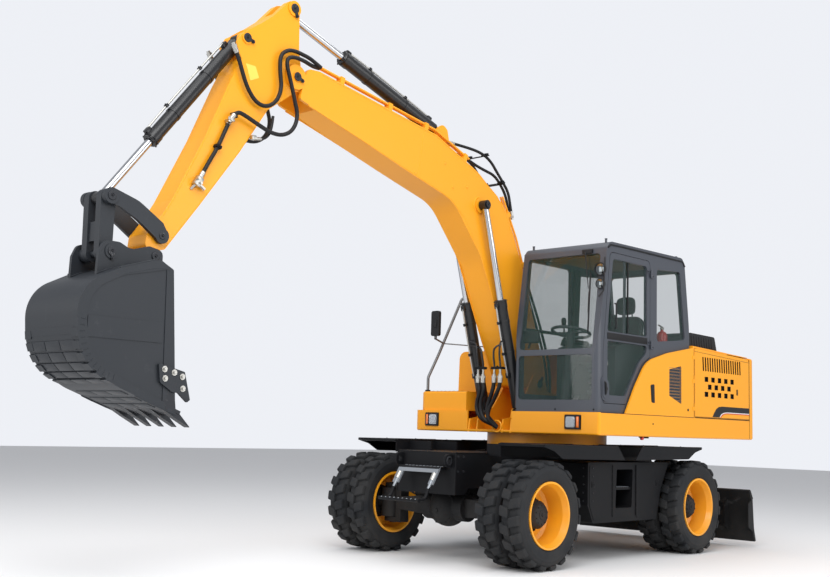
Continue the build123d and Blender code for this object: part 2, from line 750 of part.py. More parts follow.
mirror_rows = [
    (RAIL_Y - 20, 2300, 25),
    (RAIL_Y + 100, 2300, 25),
    (RAIL_Y + 100, 2585, 25),
    (RAIL_Y - 20, 2585, 25),
]
handrail += plate_yz(mirror_rows, -930, -895)
handrail += between((-905, RAIL_Y + 40, 2270), (-910, RAIL_Y + 40, 2320), 10)
save(handrail, "handrail")
lamps = []
for y in (HALF_W - 315, 275 - HALF_W):
    lamp_rows = [(y - 95, 1295, 15), (y + 95, 1295, 15), (y + 95, 1435, 15), (y - 95, 1435, 15)]
    lamps.append(plate_yz(lamp_rows, FRONT_X - 15, FRONT_X + 12))
save(group(lamps), "front_lamps")

# Cab: a hull rounded in plan, hollowed, with its openings cut
cab_rows = [
    # x, z of the cab's side
    (-785, DECK_Z1),
    (-785, 2060, 600),
    (-935, 3120, 60),
    (-990, CAB_TOP, 90),
    (-2420, CAB_TOP + 15, 70),
    (-2470, 3100, 90),
    (-2585, 2260, 60),
    (-2560, DECK_Z1),
]
cab_plan = [(-780, CAB_Y0, 60), (-780, CAB_Y1, 70), (-2600, CAB_Y1, 50), (-2600, CAB_Y0, 40)]
hull = plate_xz(cab_rows, CAB_Y0, CAB_Y1)
hull &= plate_xy(cab_plan, DECK_Z1, CAB_TOP + 100)
inner_rows = [
    (-825, CAB_FLOOR),
    (-825, 2060, 560),
    (-975, 3100, 60),
    (-1010, CAB_TOP - 55, 60),
    (-2390, CAB_TOP - 45, 60),
    (-2425, 3090, 60),
    (-2540, 2260, 60),
    (-2520, CAB_FLOOR),
]
room = plate_xz(inner_rows, CAB_Y0 + CAB_WALL, CAB_Y1 - CAB_WALL)
cab = hull - room
roof_zone = box(-3000, 0, 0, 1400, 3120, 3400)
cab_roof = cab & roof_zone
cab -= roof_zone
front_view = [
    # y, z of the two windscreen openings and the radius of their corners
    (2095, 3065),
    (1585, 2035),
]
for z0, z1 in front_view:
    rows = [(CAB_Y0 + 62, z0, 40), (CAB_Y1 - 72, z0, 40), (CAB_Y1 - 72, z1, 40), (CAB_Y0 + 62, z1, 40)]
    cab -= plate_yz(rows, -1100, -700)
door_rows = [
    # x, z of the door, with its foot along the arch
    (-880, 1560, 30),
    (-880, 2060),
    (-992, 3075, 60),
    (-1746, 3075, 60),
    (-1746, 2065),
    (-1600, 1990, 250),
    (-1430, 1790, 300),
    (-1290, 1560, 30),
]
door_hole = [
    (-874, 1554, 34),
    (-874, 2060),
    (-986, 3081, 64),
    (-1752, 3081, 64),
    (-1752, 2060),
    (-1603, 1983, 250),
    (-1434, 1784, 300),
    (-1294, 1554, 34),
]
cab -= plate_xz(door_hole, CAB_Y1 - 100, CAB_Y1 + 10)
rear_side = [(-1885, 2240, 40), (-1885, 3010, 40), (-2365, 3040, 40), (-2470, 2300, 40)]
right_window = [(-905, 1650, 40), (-905, 2060), (-1015, 3060, 40), (-1740, 3060, 40), (-1740, 1650, 40)]
cab -= plate_xz(rear_side, CAB_Y1 - 100, CAB_Y1 + 10)
cab -= plate_xz(rear_side, CAB_Y0 - 10, CAB_Y0 + 100)
cab -= plate_xz(right_window, CAB_Y0 - 10, CAB_Y0 + 100)
rear_rows = [
    (CAB_Y0 + 90, 2350, 40),
    (CAB_Y0 + 90, 3040, 40),
    (CAB_Y1 - 90, 3040, 40),
    (CAB_Y1 - 90, 2350, 40),
]
cab -= plate_yz(rear_rows, -2700, -2300)
hx, hy = CAB_DOOR_HINGE
for z in (2150, 2900):
    cab += Pos(hx, hy, z + 20) * Cylinder(CAB_HINGE_R, 40)
    cab += Pos(hx, hy, z + 60) * Cylinder(7, 60)
    cab += box(hx - 60, hx - 4, CAB_Y1 - 2, CAB_Y1 + 8, z, z + 40)
save(cab, "cab_frame")
save(cab_roof, "cab_roof")
upper_pane = [(-950, 2275, 30), (-1045, 3015, 40), (-1690, 3015, 40), (-1690, 2275, 30)]
lower_pane = [
    (-955, 1640, 40),
    (-955, 2180, 30),
    (-1690, 2180, 30),
    (-1675, 2100, 60),
    (-1540, 2000, 200),
    (-1390, 1790, 250),
    (-1280, 1640, 40),
]
door = plate_xz(door_rows, CAB_Y1 - 40, CAB_Y1)
door -= plate_xz(upper_pane, CAB_Y1 - 60, CAB_Y1 + 10)
door -= plate_xz(lower_pane, CAB_Y1 - 60, CAB_Y1 + 10)
door += box(-1290, -1320, CAB_Y1 - 40, CAB_Y1 - 24, 2270, 3020)
for z in (2150, 2900):
    door += box(hx + 4, hx + 60, CAB_Y1 - 2, CAB_Y1 + 8, z + 46, z + 80)
    door += Pos(hx, hy, z + 63) * Cylinder(CAB_HINGE_R, 34)
    door -= Pos(hx, hy, z + 63) * Cylinder(7 + RUN, 60)
    door -= Pos(hx, hy, z + 20) * Cylinder(CAB_HINGE_R + 2, 46)
save(door, "cab_door")
panes = []
for rows in (upper_pane, lower_pane):
    panes.append(plate_xz(rows, CAB_Y1 - 22, CAB_Y1 - 16))
save(group(panes), "cab_door_glass")
skin_rows = [
    (-797, 1500),
    (-797, 2060, 590),
    (-947, 3120),
    (-953, 3120),
    (-803, 2060, 584),
    (-803, 1500),
]
front_skin = plate_xz(skin_rows, CAB_Y0, CAB_Y1)
panes = []
for z0, z1 in front_view:
    rows = [(CAB_Y0 + 62, z0, 40), (CAB_Y1 - 72, z0, 40), (CAB_Y1 - 72, z1, 40), (CAB_Y0 + 62, z1, 40)]
    panes.append(front_skin & plate_yz(rows, -1100, -700))
for y0 in (CAB_Y0 + 15, CAB_Y1 - 21):
    panes.append(plate_xz(rear_side, y0, y0 + 6))
panes.append(plate_xz(right_window, CAB_Y0 + 15, CAB_Y0 + 21))
save(group(panes), "cab_glass")

# Seat on its pedestal, consoles, steering column and wheel
seat_rows = [
    (-1480, 1985, 30),
    (-1480, 2100, 40),
    (-1930, 2080, 60),
    (-2055, 2560, 30),
    (-2165, 2550, 30),
    (-2030, 1985, 60),
]
head_rows = [(-2010, 2540), (-2050, 2800, 30), (-2130, 2790, 30), (-2120, 2540)]
seat = plate_xz(seat_rows, CAB_MID - 240, CAB_MID + 240)
seat += plate_xz(head_rows, CAB_MID - 130, CAB_MID + 130)
seat += box(-1560, -1960, CAB_MID - 170, CAB_MID + 170, CAB_FLOOR, 1990)
save(seat, "seat")
controls = []
console_rows = [
    (-1330, CAB_FLOOR),
    (-1330, 2150, 50),
    (-1480, 2200, 50),
    (-1900, 2200, 50),
    (-1900, CAB_FLOOR),
]
for side in (1, -1):
    controls.append(plate_xz(console_rows, CAB_MID + side * 275, CAB_MID + side * 365))
column = between((-960, CAB_MID, CAB_FLOOR + 10), (-1064, CAB_MID, 2284), 45)
column += Pos(-1065, CAB_MID, 2290) * Rot(0, -12, 0) * Torus(195, 16)
column += Pos(-1065, CAB_MID, 2285) * Rot(0, -12, 0) * Box(30, 385, 14)
column += box(-900, -1040, CAB_MID - 120, CAB_MID + 120, CAB_FLOOR, CAB_FLOOR + 60)
controls.append(column)
save(group(controls), "controls")

# Boom: a bent box with a fork at its nose, a bossed foot, brackets and pipes
boom_rows = [
    # x, z along the underside from the nose, round the foot and back along the top
    (2154, 4125, 30),
    (855, 3768),
    (389, 3646),
    (60, 3560, 500),
    (-420, 3020, 700),
    (-823, 2213),
    (-1080, 1740, 60),
    (-1500, 1700, 90),
    (-1500, 2000),
    (-1074, 3081),
    (-800, 3620, 420),
    (-330, 3925, 500),
    (336, 4189),
    (1933, 4430),
    (2080, 4420, 60),
]
boom = plate_xz(boom_rows, BOOM_Y - BOOM_HALF, BOOM_Y + BOOM_HALF)
boom += pin_y(BOOM_NOSE, 112, BOOM_Y - BOOM_HALF, BOOM_Y + BOOM_HALF)
fork_rows = [(1995, 4600), (1995, 4330, 40), (1950, 4000), (2600, 3900), (2600, 4700)]
fork = plate_xz(fork_rows, BOOM_Y - ARM_HALF - 6, BOOM_Y + ARM_HALF + 6)
boom -= fork
for side in (1, -1):
    boom += pin_y(BOOM_CYL_EYE, 80, BOOM_Y + side * 150, BOOM_Y + side * 182)
boom -= pin_y(BOOM_FOOT, 37 + RUN, -800, 400)
boom += pin_y(BOOM_NOSE, 36, BOOM_Y - BOOM_HALF - 12, BOOM_Y + BOOM_HALF + 12)
for side in (1, -1):
    ear_rows = [(40, 4040), (110, 4300, 40), (180, 4345, 60), (250, 4300, 40), (350, 4130), (350, 4040)]
    ear = plate_xz(ear_rows, BOOM_Y + side * 78, BOOM_Y + side * 98)
    boom += ear
    boom += pin_y(ARM_CYL_FOOT, 50, BOOM_Y + side * 49, BOOM_Y + side * 98)
boom += pin_y(ARM_CYL_FOOT, 26, BOOM_Y - 90, BOOM_Y + 90)
top_run = [(1900, 4479), (1784, 4462), (333, 4243), (-190, 4050)]
low_run = [(-760, 3750), (-1010, 3330), (-1180, 2950)]
for k in (108, 138, -108, -138):
    y = BOOM_Y + k
    boom += tube([(x, y, z) for x, z in top_run], 200, 11)
    boom += tube([(x, y, z) for x, z in low_run], 300, 11)
clamp_rows = [
    # x, z on the pipes' line, and the line's slope in degrees
    (1640, 4440, 8.6),
    (1000, 4344, 8.6),
    (480, 4265, 8.6),
    (-130, 4072, 20),
    (-867, 3570, 59),
    (-1131, 3060, 66),
]
for x, z, slope in clamp_rows:
    for side in (1, -1):
        boom += Pos(x, BOOM_Y + side * 123, z) * Rot(0, -slope, 0) * Pos(0, 0, -30) * Box(50, 66, 92)
save(boom, "boom")
tubes = []
rods = []
for side in (1, -1):
    y = BOOM_Y + side * BOOM_CYL_Y
    tubes.append(cylinder_tube(BOOM_CYL_FOOT, BOOM_CYL_EYE, 1200, 50, 60, y, 80))
    rods.append(cylinder_rod(BOOM_CYL_FOOT, BOOM_CYL_EYE, 950, 50, 34, y, 80))
save(group(tubes), "boom_cylinder_tubes")
save(group(rods), "boom_cylinder_rods")
save(cylinder_tube(ARM_CYL_FOOT, ARM_CYL_EYE, 1400, 57, 68, BOOM_Y, 90), "arm_cylinder_tube")
save(cylinder_rod(ARM_CYL_FOOT, ARM_CYL_EYE, 485, 57, 36, BOOM_Y, 80), "arm_cylinder_rod")

# Arm: a tapering box with a forked head
arm_rows = [
    # x, z from the pivot's rear along the back to the tip, and up the front to the head
    (2100, 4250, 60),
    (2300, 4090, 90),
    (2485, 3949),
    (2763, 3520),
    (3140, 3001),
    (3450, 2590, 30),
    (3635, 2560, 50),
    (3620, 2690),
    (3495, 2861),
    (3411, 2996),
    (3127, 3571),
    (2904, 4093),
    (2790, 4330, 60),
    (2680, 4440, 60),
    (2620, 4680, 40),
    (2471, 4800),
    (2290, 5000, 60),
    (2175, 4990, 50),
    (2160, 4580),
]
arm = plate_xz(arm_rows, BOOM_Y - ARM_HALF, BOOM_Y + ARM_HALF)
fork_gap = [(1990, 4600), (2300, 4640, 60), (2440, 4860), (2500, 5200), (1990, 5200)]
arm -= plate_xz(fork_gap, BOOM_Y - 52, BOOM_Y + 52)
arm += pin_y(BOOM_NOSE, 118, BOOM_Y - ARM_HALF, BOOM_Y + ARM_HALF)
arm += pin_y(BUCKET_PIN, 68, BOOM_Y - ARM_HALF, BOOM_Y + ARM_HALF)
for side in (1, -1):
    y1 = BOOM_Y + side * ARM_HALF
    arm += pin_y(ARM_CYL_EYE, 70, BOOM_Y + side * 60, BOOM_Y + side * (ARM_HALF + 12))
    cheek_rows = [
        (2500, 4500),
        (2500, 4760),
        (2640, 4670),
        (2790, 4555, 40),
        (2850, 4470, 40),
        (2820, 4370),
        (2790, 4330),
        (2640, 4300),
    ]
    arm += plate_xz(cheek_rows, BOOM_Y + side * (ARM_HALF - 20), y1)
    arm += pin_y(BUCKET_CYL_FOOT, 54, BOOM_Y + side * 49, BOOM_Y + side * (ARM_HALF + 10))
arm += pin_y(BUCKET_CYL_FOOT, 26, BOOM_Y - 90, BOOM_Y + 90)
arm -= pin_y(BOOM_NOSE, 36 + RUN, BOOM_Y - 300, BOOM_Y + 300)
arm += pin_y(LINK_PIN, 26, BOOM_Y - ARM_HALF - 38, BOOM_Y + ARM_HALF + 38)
arm += pin_y(BUCKET_PIN, 30, BOOM_Y - ARM_HALF - 82, BOOM_Y + ARM_HALF + 82)
save(arm, "arm")
save(cylinder_tube(BUCKET_CYL_FOOT, TOP_PIN, 1330, 50, 60, BOOM_Y, 90), "bucket_cylinder_tube")
save(cylinder_rod(BUCKET_CYL_FOOT, TOP_PIN, 625, 50, 32, BOOM_Y, 80), "bucket_cylinder_rod")

# Curved side links, and the link from them down to the bucket
link_rows = [
    (3440, 2690, 50),
    (3480, 2640, 40),
    (3530, 2645),
    (3740, 2786, 300),
    (3900, 2862),
    (4010, 2875, 50),
    (4030, 2950, 50),
    (3960, 2995, 50),
    (3728, 2929, 300),
    (3500, 2790),
]
links = []
for side in (1, -1):
    y0 = BOOM_Y + side * (ARM_HALF + 6)
    y1 = BOOM_Y + side * (ARM_HALF + 40)
    link = plate_xz(link_rows, y0, y1)
    link += pin_y(LINK_PIN, 62, y0, y1)
    link += pin_y(TOP_PIN, 62, y0, BOOM_Y + side * (ARM_HALF + 52))
    link -= pin_y(LINK_PIN, 26 + RUN, y0 - 100, y0 + 100)
    links.append(link)
save(group(links), "side_links")
bar_rows = [
    (3915, 2500),
    (3912, 2930),
    (4036, 2930),
    (4028, 2500),
]
bucket_link = box(3935, 4015, BOOM_Y - 60, BOOM_Y + 60, 2590, 2740)
for side in (1, -1):
    y0 = BOOM_Y + side * 52
    y1 = BOOM_Y + side * (ARM_HALF - 2)
    bucket_link += plate_xz(bar_rows, y0, y1)
    bucket_link += pin_y(TOP_PIN, 60, y0, y1)
    bucket_link += pin_y(ROD_PIN, 60, y0, y1)
bucket_link -= pin_y(ROD_PIN, 26 + RUN, BOOM_Y - 300, BOOM_Y + 300)
save(bucket_link, "bucket_link")

# Bucket: a rolled shell, cheeks, ears, side cutters, wear strips and teeth
shell_rows = [
    # x, z of the outside, from the top lip round the back to the cutting edge
    (3700, 2452, 0),
    (3990, 2360, 200),
    (4330, 2190, 300),
    (4290, 1690, 420),
    (3960, 1490, 400),
    (3431, 1299, 0),
]
shell_in = [
    (3431, 1327, 0),
    (3955, 1518, 380),
    (4262, 1704, 400),
    (4300, 2178, 280),
    (3980, 2338, 180),
    (3700, 2428, 0),
]
shell = plate_xz(shell_rows + shell_in, BOOM_Y - BUCKET_HALF, BOOM_Y + BUCKET_HALF)
cheek = shell_rows + [(3447, 1412, 0), (3523, 2401, 20), (3600, 2440, 0), (3640, 2462, 0)]
dish = [
    (3585, 2395, 0),
    (3960, 2310, 200),
    (4250, 2160, 280),
    (4215, 1720, 380),
    (3940, 1560, 380),
    (3560, 1400, 0),
]
bucket = shell
for side in (1, -1):
    y1 = BOOM_Y + side * BUCKET_HALF
    bucket += plate_xz(cheek, y1 - side * 25, y1)
    bucket -= plate_xz(dish, y1 - side * 6, y1 + side * 5)
    cutter = [
        (3622, 1682, 12),
        (3383, 1628, 12),
        (3323, 1417, 8),
        (3350, 1396, 8),
        (3436, 1466),
        (3491, 1471),
        (3603, 1541, 12),
    ]
    bucket += plate_xz(cutter, y1 - side * 2, y1 + side * 18)
    for i in range(6):
        a = math.radians(-72 + i * 13)
        turn = Pos(3900, y1 - side * 45, 1910) * Rot(0, -math.degrees(a), 0)
        strip = turn * Pos(388, 0, 0) * Box(40, 90, 62)
        bucket += strip
    e0 = BOOM_Y + side * (ARM_HALF + 48)
    ear_rows = [
        (3515, 2420),
        (3515, 2560, 50),
        (3640, 2585, 60),
        (3800, 2535, 120),
        (3900, 2580, 60),
        (4030, 2580, 60),
        (4075, 2480, 40),
        (4080, 2290),
        (3990, 2345, 60),
        (3700, 2440),
    ]
    ear = plate_xz(ear_rows, e0, e0 + side * 32)
    ear += pin_y(ROD_PIN, 56, BOOM_Y + side * (ARM_HALF + 1), e0 + side * 40)
    ear += pin_y(BUCKET_PIN, 62, BOOM_Y + side * (ARM_HALF + 4), e0 + side * 32)
    ear -= pin_y(BUCKET_PIN, 30 + RUN, e0 - 100, e0 + 100)
    bucket += ear
bucket += pin_y(ROD_PIN, 26, BOOM_Y - 150, BOOM_Y + 150)
for x, z, turn in ((4288, 2010, 8), (4290, 1880, -8)):
    bucket += Pos(x, BOOM_Y, z) * Rot(0, -turn, 0) * Box(30, 2 * BUCKET_HALF - 100, 60)
tooth_rows = [
    (3640, 1392),
    (3650, 1430, 10),
    (3440, 1352),
    (3286, 1199, 3),
    (3440, 1278),
]
for i in range(5):
    y = BOOM_Y - BUCKET_HALF + 36 + i * (2 * BUCKET_HALF - 72) / 4
    bucket += plate_xz(tooth_rows, y - 32, y + 32)
lip_rows = [(3560, 1360), (3552, 1385), (3390, 1328), (3400, 1302)]
bucket += plate_xz(lip_rows, BOOM_Y - BUCKET_HALF, BOOM_Y + BUCKET_HALF)
save(bucket, "bucket")
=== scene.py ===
import bpy
import bmesh
import math
from mathutils import Matrix, Vector


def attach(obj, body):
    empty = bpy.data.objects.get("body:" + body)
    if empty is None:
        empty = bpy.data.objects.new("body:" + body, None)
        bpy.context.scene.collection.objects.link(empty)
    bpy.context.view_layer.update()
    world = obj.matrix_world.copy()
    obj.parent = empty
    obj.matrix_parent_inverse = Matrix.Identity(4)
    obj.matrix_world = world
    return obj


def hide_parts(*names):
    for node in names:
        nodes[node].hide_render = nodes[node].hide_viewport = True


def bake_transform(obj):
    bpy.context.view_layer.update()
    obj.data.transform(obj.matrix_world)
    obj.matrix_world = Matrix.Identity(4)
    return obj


# %% [markdown]
# # A wheeled excavator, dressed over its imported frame
# The frame is the CAD model with its bodies and joints. Everything below adds finish and small
# parts to it.
# Places are typed in millimetres from the ground under the steered axle, as on a maker's drawing,
# and turned into the frame's metres.

# %% Load the frame
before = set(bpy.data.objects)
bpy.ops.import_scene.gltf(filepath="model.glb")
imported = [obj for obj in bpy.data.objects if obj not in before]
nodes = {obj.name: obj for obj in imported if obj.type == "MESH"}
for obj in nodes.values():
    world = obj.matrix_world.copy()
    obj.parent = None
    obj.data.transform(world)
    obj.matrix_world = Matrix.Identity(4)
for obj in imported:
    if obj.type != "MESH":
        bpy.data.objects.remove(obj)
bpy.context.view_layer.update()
# the frame's zero lies this far ahead of the steered axle
MIDDLE_X = 97.4


def at(x, y, z):
    return Vector(((x - MIDDLE_X) / 1000, y / 1000, z / 1000))


# %% [markdown]
# ## Effects that several finishes share
# Road dust settles low on a machine and in broad patches, so one node group mixes a dust colour in
# by height and noise.
# Sprayed paint has a faint orange peel and an uneven sheen, so a second group gives a bump and a
# roughness.
# Chips and scratches show bare steel where the paint has gone, so a third group gives a sharp mask
# from stretched noise.

# %% Helpers for node groups and shaders


def effect_group(name, inputs, outputs):
    group = bpy.data.node_groups.new(name, "ShaderNodeTree")
    for label, kind, value in inputs:
        socket = group.interface.new_socket(name=label, in_out="INPUT", socket_type=kind)
        socket.default_value = value
    for label, kind in outputs:
        group.interface.new_socket(name=label, in_out="OUTPUT", socket_type=kind)
    return group, group.nodes.new("NodeGroupInput"), group.nodes.new("NodeGroupOutput")


def set_inputs(node, values):
    for name, value in values.items():
        node.inputs[name].default_value = value


def add_node(tree, kind, values=None, **settings):
    node = tree.nodes.new("ShaderNode" + kind)
    for name, value in settings.items():
        setattr(node, name, value)
    set_inputs(node, values or {})
    return node


def wire(tree, *rows):
    for source, outlet, target, inlet in rows:
        tree.links.new(source.outputs[outlet], target.inputs[inlet])


COLOUR, NUMBER, VECTOR = "NodeSocketColor", "NodeSocketFloat", "NodeSocketVector"
WHITE = (1, 1, 1, 1)

# %% Road dust by height
road_dust, given, result = effect_group(
    "Road dust",
    [
        ("Colour", COLOUR, WHITE),
        ("Dust", COLOUR, (0.3, 0.26, 0.2, 1)),
        ("Amount", NUMBER, 0.3),
        ("Reach", NUMBER, 1.5),
        ("Patches", NUMBER, 3.0),
    ],
    [("Colour", COLOUR), ("Mask", NUMBER)],
)
place = add_node(road_dust, "TexCoord")
split = add_node(road_dust, "SeparateXYZ")
fall = add_node(road_dust, "MapRange", {"To Min": 1.0, "To Max": 0.12})
patch = add_node(road_dust, "TexNoise", {"Detail": 5.0})
spread = add_node(road_dust, "MapRange", {"From Min": 0.35, "From Max": 0.75})
both = add_node(road_dust, "Math", operation="MULTIPLY")
dose = add_node(road_dust, "Math", operation="MULTIPLY", use_clamp=True)
mix = add_node(road_dust, "Mix", data_type="RGBA")
wire(
    road_dust,
    (place, "Object", split, 0),
    (split, "Z", fall, "Value"),
    (given, "Reach", fall, "From Max"),
    (place, "Object", patch, "Vector"),
    (given, "Patches", patch, "Scale"),
    (patch, "Fac", spread, "Value"),
    (fall, "Result", both, 0),
    (spread, "Result", both, 1),
    (both, 0, dose, 0),
    (given, "Amount", dose, 1),
    (dose, 0, mix, "Factor"),
    (given, "Colour", mix, "A"),
    (given, "Dust", mix, "B"),
    (mix, "Result", result, "Colour"),
    (dose, 0, result, "Mask"),
)

# %% Orange peel and uneven sheen
paint_skin, given, result = effect_group(
    "Paint skin",
    [
        ("Roughness", NUMBER, 0.3),
        ("Uneven", NUMBER, 0.08),
        ("Grain", NUMBER, 90.0),
        ("Depth", NUMBER, 0.05),
        ("Mask", NUMBER, 0.0),
    ],
    [("Roughness", NUMBER), ("Normal", VECTOR)],
)
place = add_node(paint_skin, "TexCoord")
broad = add_node(paint_skin, "TexNoise", {"Scale": 2.3, "Detail": 4.0})
swing = add_node(paint_skin, "Math", operation="MULTIPLY_ADD")
dull = add_node(paint_skin, "Math", {1: 0.5}, operation="MULTIPLY_ADD", use_clamp=True)
fine = add_node(paint_skin, "TexNoise", {"Detail": 2.0})
bump = add_node(paint_skin, "Bump", {"Distance": 0.002})
wire(
    paint_skin,
    (place, "Object", broad, "Vector"),
    (broad, "Fac", swing, 0),
    (given, "Uneven", swing, 1),
    (given, "Roughness", swing, 2),
    (given, "Mask", dull, 0),
    (swing, 0, dull, 2),
    (place, "Object", fine, "Vector"),
    (given, "Grain", fine, "Scale"),
    (fine, "Fac", bump, "Height"),
    (given, "Depth", bump, "Strength"),
    (dull, 0, result, "Roughness"),
    (bump, "Normal", result, "Normal"),
)

# %% Chips and scratches
chips, given, result = effect_group(
    "Chips and scratches",
    [
        ("Colour", COLOUR, WHITE),
        ("Bare", COLOUR, (0.4, 0.38, 0.36, 1)),
        ("Amount", NUMBER, 0.2),
        ("Stretch", VECTOR, (1, 1, 1)),
        ("Size", NUMBER, 6.0),
    ],
    [("Colour", COLOUR), ("Mask", NUMBER)],
)
place = add_node(chips, "TexCoord")
pull = add_node(chips, "VectorMath", operation="MULTIPLY")
marks = add_node(chips, "TexNoise", {"Detail": 9.0, "Roughness": 0.72})
cut = add_node(chips, "MapRange", {"From Min": 0.60, "From Max": 0.66})
dose = add_node(chips, "Math", operation="MULTIPLY", use_clamp=True)
mix = add_node(chips, "Mix", data_type="RGBA")
wire(
    chips,
    (place, "Object", pull, 0),
    (given, "Stretch", pull, 1),
    (pull, 0, marks, "Vector"),
    (given, "Size", marks, "Scale"),
    (marks, "Fac", cut, "Value"),
    (cut, "Result", dose, 0),
    (given, "Amount", dose, 1),
    (dose, 0, mix, "Factor"),
    (given, "Colour", mix, "A"),
    (given, "Bare", mix, "B"),
    (mix, "Result", result, "Colour"),
    (dose, 0, result, "Mask"),
)
print("effect groups", [g.name for g in bpy.data.node_groups])

# %% [markdown]
# ## Finishes
# Every painted finish is the same recipe with its own numbers: a base colour, chips on top where
# the part is worked hard, dust over that, and the paint's skin for sheen and bump.
# The shader stays in the material, and what is even over the surface is set on its own sockets.

# %% A recipe for painted steel
DUST = (0.17, 0.155, 0.135, 1)
BARE = (0.35, 0.33, 0.31, 1)


def new_finish(name):
    material = bpy.data.materials.new(name)
    material.use_nodes = True
    return material, material.node_tree, material.node_tree.nodes["Principled BSDF"]


def painted(
    name, colour, rough=0.35, coat=0.0, dust=0.25, reach=1.4, worn=0.0, stretch=(1, 1, 1), size=6.0,
    grain=90.0, depth=0.05, metallic=0.0, bare=BARE, dust_colour=DUST, shine=0.5,
):
    material, tree, shader = new_finish(name)
    set_inputs(
        shader,
        {"Metallic": metallic, "Coat Weight": coat, "Coat Roughness": 0.12, "Specular IOR Level": shine},
    )
    worked = {"Colour": (*colour, 1), "Bare": bare, "Amount": worn, "Stretch": stretch, "Size": size}
    dusty = {"Dust": dust_colour, "Amount": dust, "Reach": reach}
    sprayed = {"Roughness": rough, "Grain": grain, "Depth": depth}
    wear = add_node(tree, "Group", worked, node_tree=chips)
    soil = add_node(tree, "Group", dusty, node_tree=road_dust)
    skin = add_node(tree, "Group", sprayed, node_tree=paint_skin)
    wire(
        tree,
        (wear, "Colour", soil, "Colour"),
        (soil, "Colour", shader, "Base Color"),
        (soil, "Mask", skin, "Mask"),
        (skin, "Roughness", shader, "Roughness"),
        (skin, "Normal", shader, "Normal"),
    )
    return material


# %% The machine's paints, rubbers, metals and plastics
machine_yellow = painted(
    "machine yellow", (0.86, 0.345, 0.010), rough=0.36, coat=0.15, dust=0.10, reach=1.3, depth=0.03,
    dust_colour=(0.42, 0.33, 0.20, 1), shine=0.3,
)
rim_yellow = painted(
    "rim yellow", (0.90, 0.37, 0.012), rough=0.36, coat=0.2, dust=0.22, reach=1.0, depth=0.04,
    shine=0.4,
)
cab_grey = painted(
    "cab grey", (0.050, 0.056, 0.070), rough=0.38, coat=0.15, dust=0.05, depth=0.04, shine=0.4,
)
frame_black = painted(
    "frame black", (0.0042, 0.0046, 0.0060), rough=0.5, dust=0.045, reach=1.3, depth=0.06,
    shine=0.18,
)
axle_black = painted(
    "axle black", (0.009, 0.009, 0.010), rough=0.6, dust=0.30, reach=0.9, depth=0.25, grain=60,
    shine=0.25,
)
bucket_slate = painted(
    "bucket slate", (0.019, 0.0225, 0.028), rough=0.46, dust=0.05, reach=2.0, worn=0.10,
    stretch=(1, 3, 1), size=7.0, depth=0.10, bare=(0.10, 0.105, 0.11, 1), shine=0.35,
)
worn_steel = painted(
    "worn steel edge", (0.035, 0.037, 0.042), rough=0.42, dust=0.1, worn=0.5, stretch=(1, 2, 1),
    size=14.0, metallic=0.6, bare=(0.30, 0.30, 0.30, 1), shine=0.3,
)
blade_black = painted(
    "blade black", (0.006, 0.0065, 0.0075), rough=0.48, dust=0.14, reach=0.9, worn=0.2,
    stretch=(1, 0.4, 1), size=5.0, bare=(0.12, 0.12, 0.12, 1), shine=0.22,
)
cylinder_black = painted(
    "cylinder black", (0.008, 0.0085, 0.010), rough=0.30, coat=0.15, dust=0.06, depth=0.04,
    shine=0.4,
)
tyre_rubber = painted(
    "tyre rubber", (0.014, 0.0155, 0.018), rough=0.74, dust=0.22, reach=1.1, grain=140, depth=0.35,
    shine=0.25,
)
hose_rubber = painted(
    "hose rubber", (0.006, 0.006, 0.007), rough=0.5, dust=0.04, grain=420, depth=0.5, shine=0.35,
)
seal_rubber = painted(
    "seal rubber", (0.006, 0.006, 0.007), rough=0.5, dust=0.03, grain=200, depth=0.2, shine=0.3,
)
plastic_black = painted(
    "moulded black plastic", (0.008, 0.0085, 0.010), rough=0.5, dust=0.05, grain=330, depth=0.35,
    shine=0.35,
)
plastic_grey = painted(
    "moulded grey plastic", (0.045, 0.052, 0.055), rough=0.55, dust=0.04, grain=330, depth=0.35,
    shine=0.35,
)
lining_grey = painted(
    "cab lining", (0.055, 0.060, 0.058), rough=0.8, dust=0.0, grain=260, depth=0.4, shine=0.2,
)
visor_brown = painted(
    "visor board", (0.085, 0.055, 0.035), rough=0.7, dust=0.0, grain=200, depth=0.3, shine=0.2,
)
plated_steel = painted("plated steel", (0.50, 0.49, 0.46), rough=0.34, dust=0.05, metallic=1.0, depth=0.1)
steel_grey = painted("galvanised steel", (0.20, 0.205, 0.21), rough=0.45, dust=0.06, metallic=0.7)
mesh_blue = painted("grey wire mesh", (0.10, 0.115, 0.135), rough=0.5, dust=0.05, metallic=0.4, shine=0.4)
tread_plate = painted(
    "tread plate", (0.30, 0.325, 0.355), rough=0.42, dust=0.2, metallic=0.6, grain=45, depth=0.9,
)
signal_red = painted("signal red", (0.50, 0.018, 0.012), rough=0.3, coat=0.5, dust=0.02)
stripe_white = painted("stripe white", (0.72, 0.72, 0.70), rough=0.35, dust=0.05)
stripe_red = painted("stripe red", (0.55, 0.018, 0.012), rough=0.35, dust=0.05)
stripe_black = painted("stripe black", (0.008, 0.008, 0.009), rough=0.35, dust=0.05, shine=0.35)
amber_lens = painted(
    "amber lens", (0.80, 0.17, 0.01), rough=0.15, coat=1.0, dust=0.05, grain=160, depth=0.3,
)
pale_yellow = painted("pale yellow plate", (0.90, 0.58, 0.08), rough=0.4, dust=0.03)

# %% [markdown]
# Chrome rods are ground, so they keep fine rings along their length. Glass is a thin tinted sheet,
# which mixes what is behind it with a sharp gloss.
# Lamp lenses are fluted, so a wave texture drives their bump.

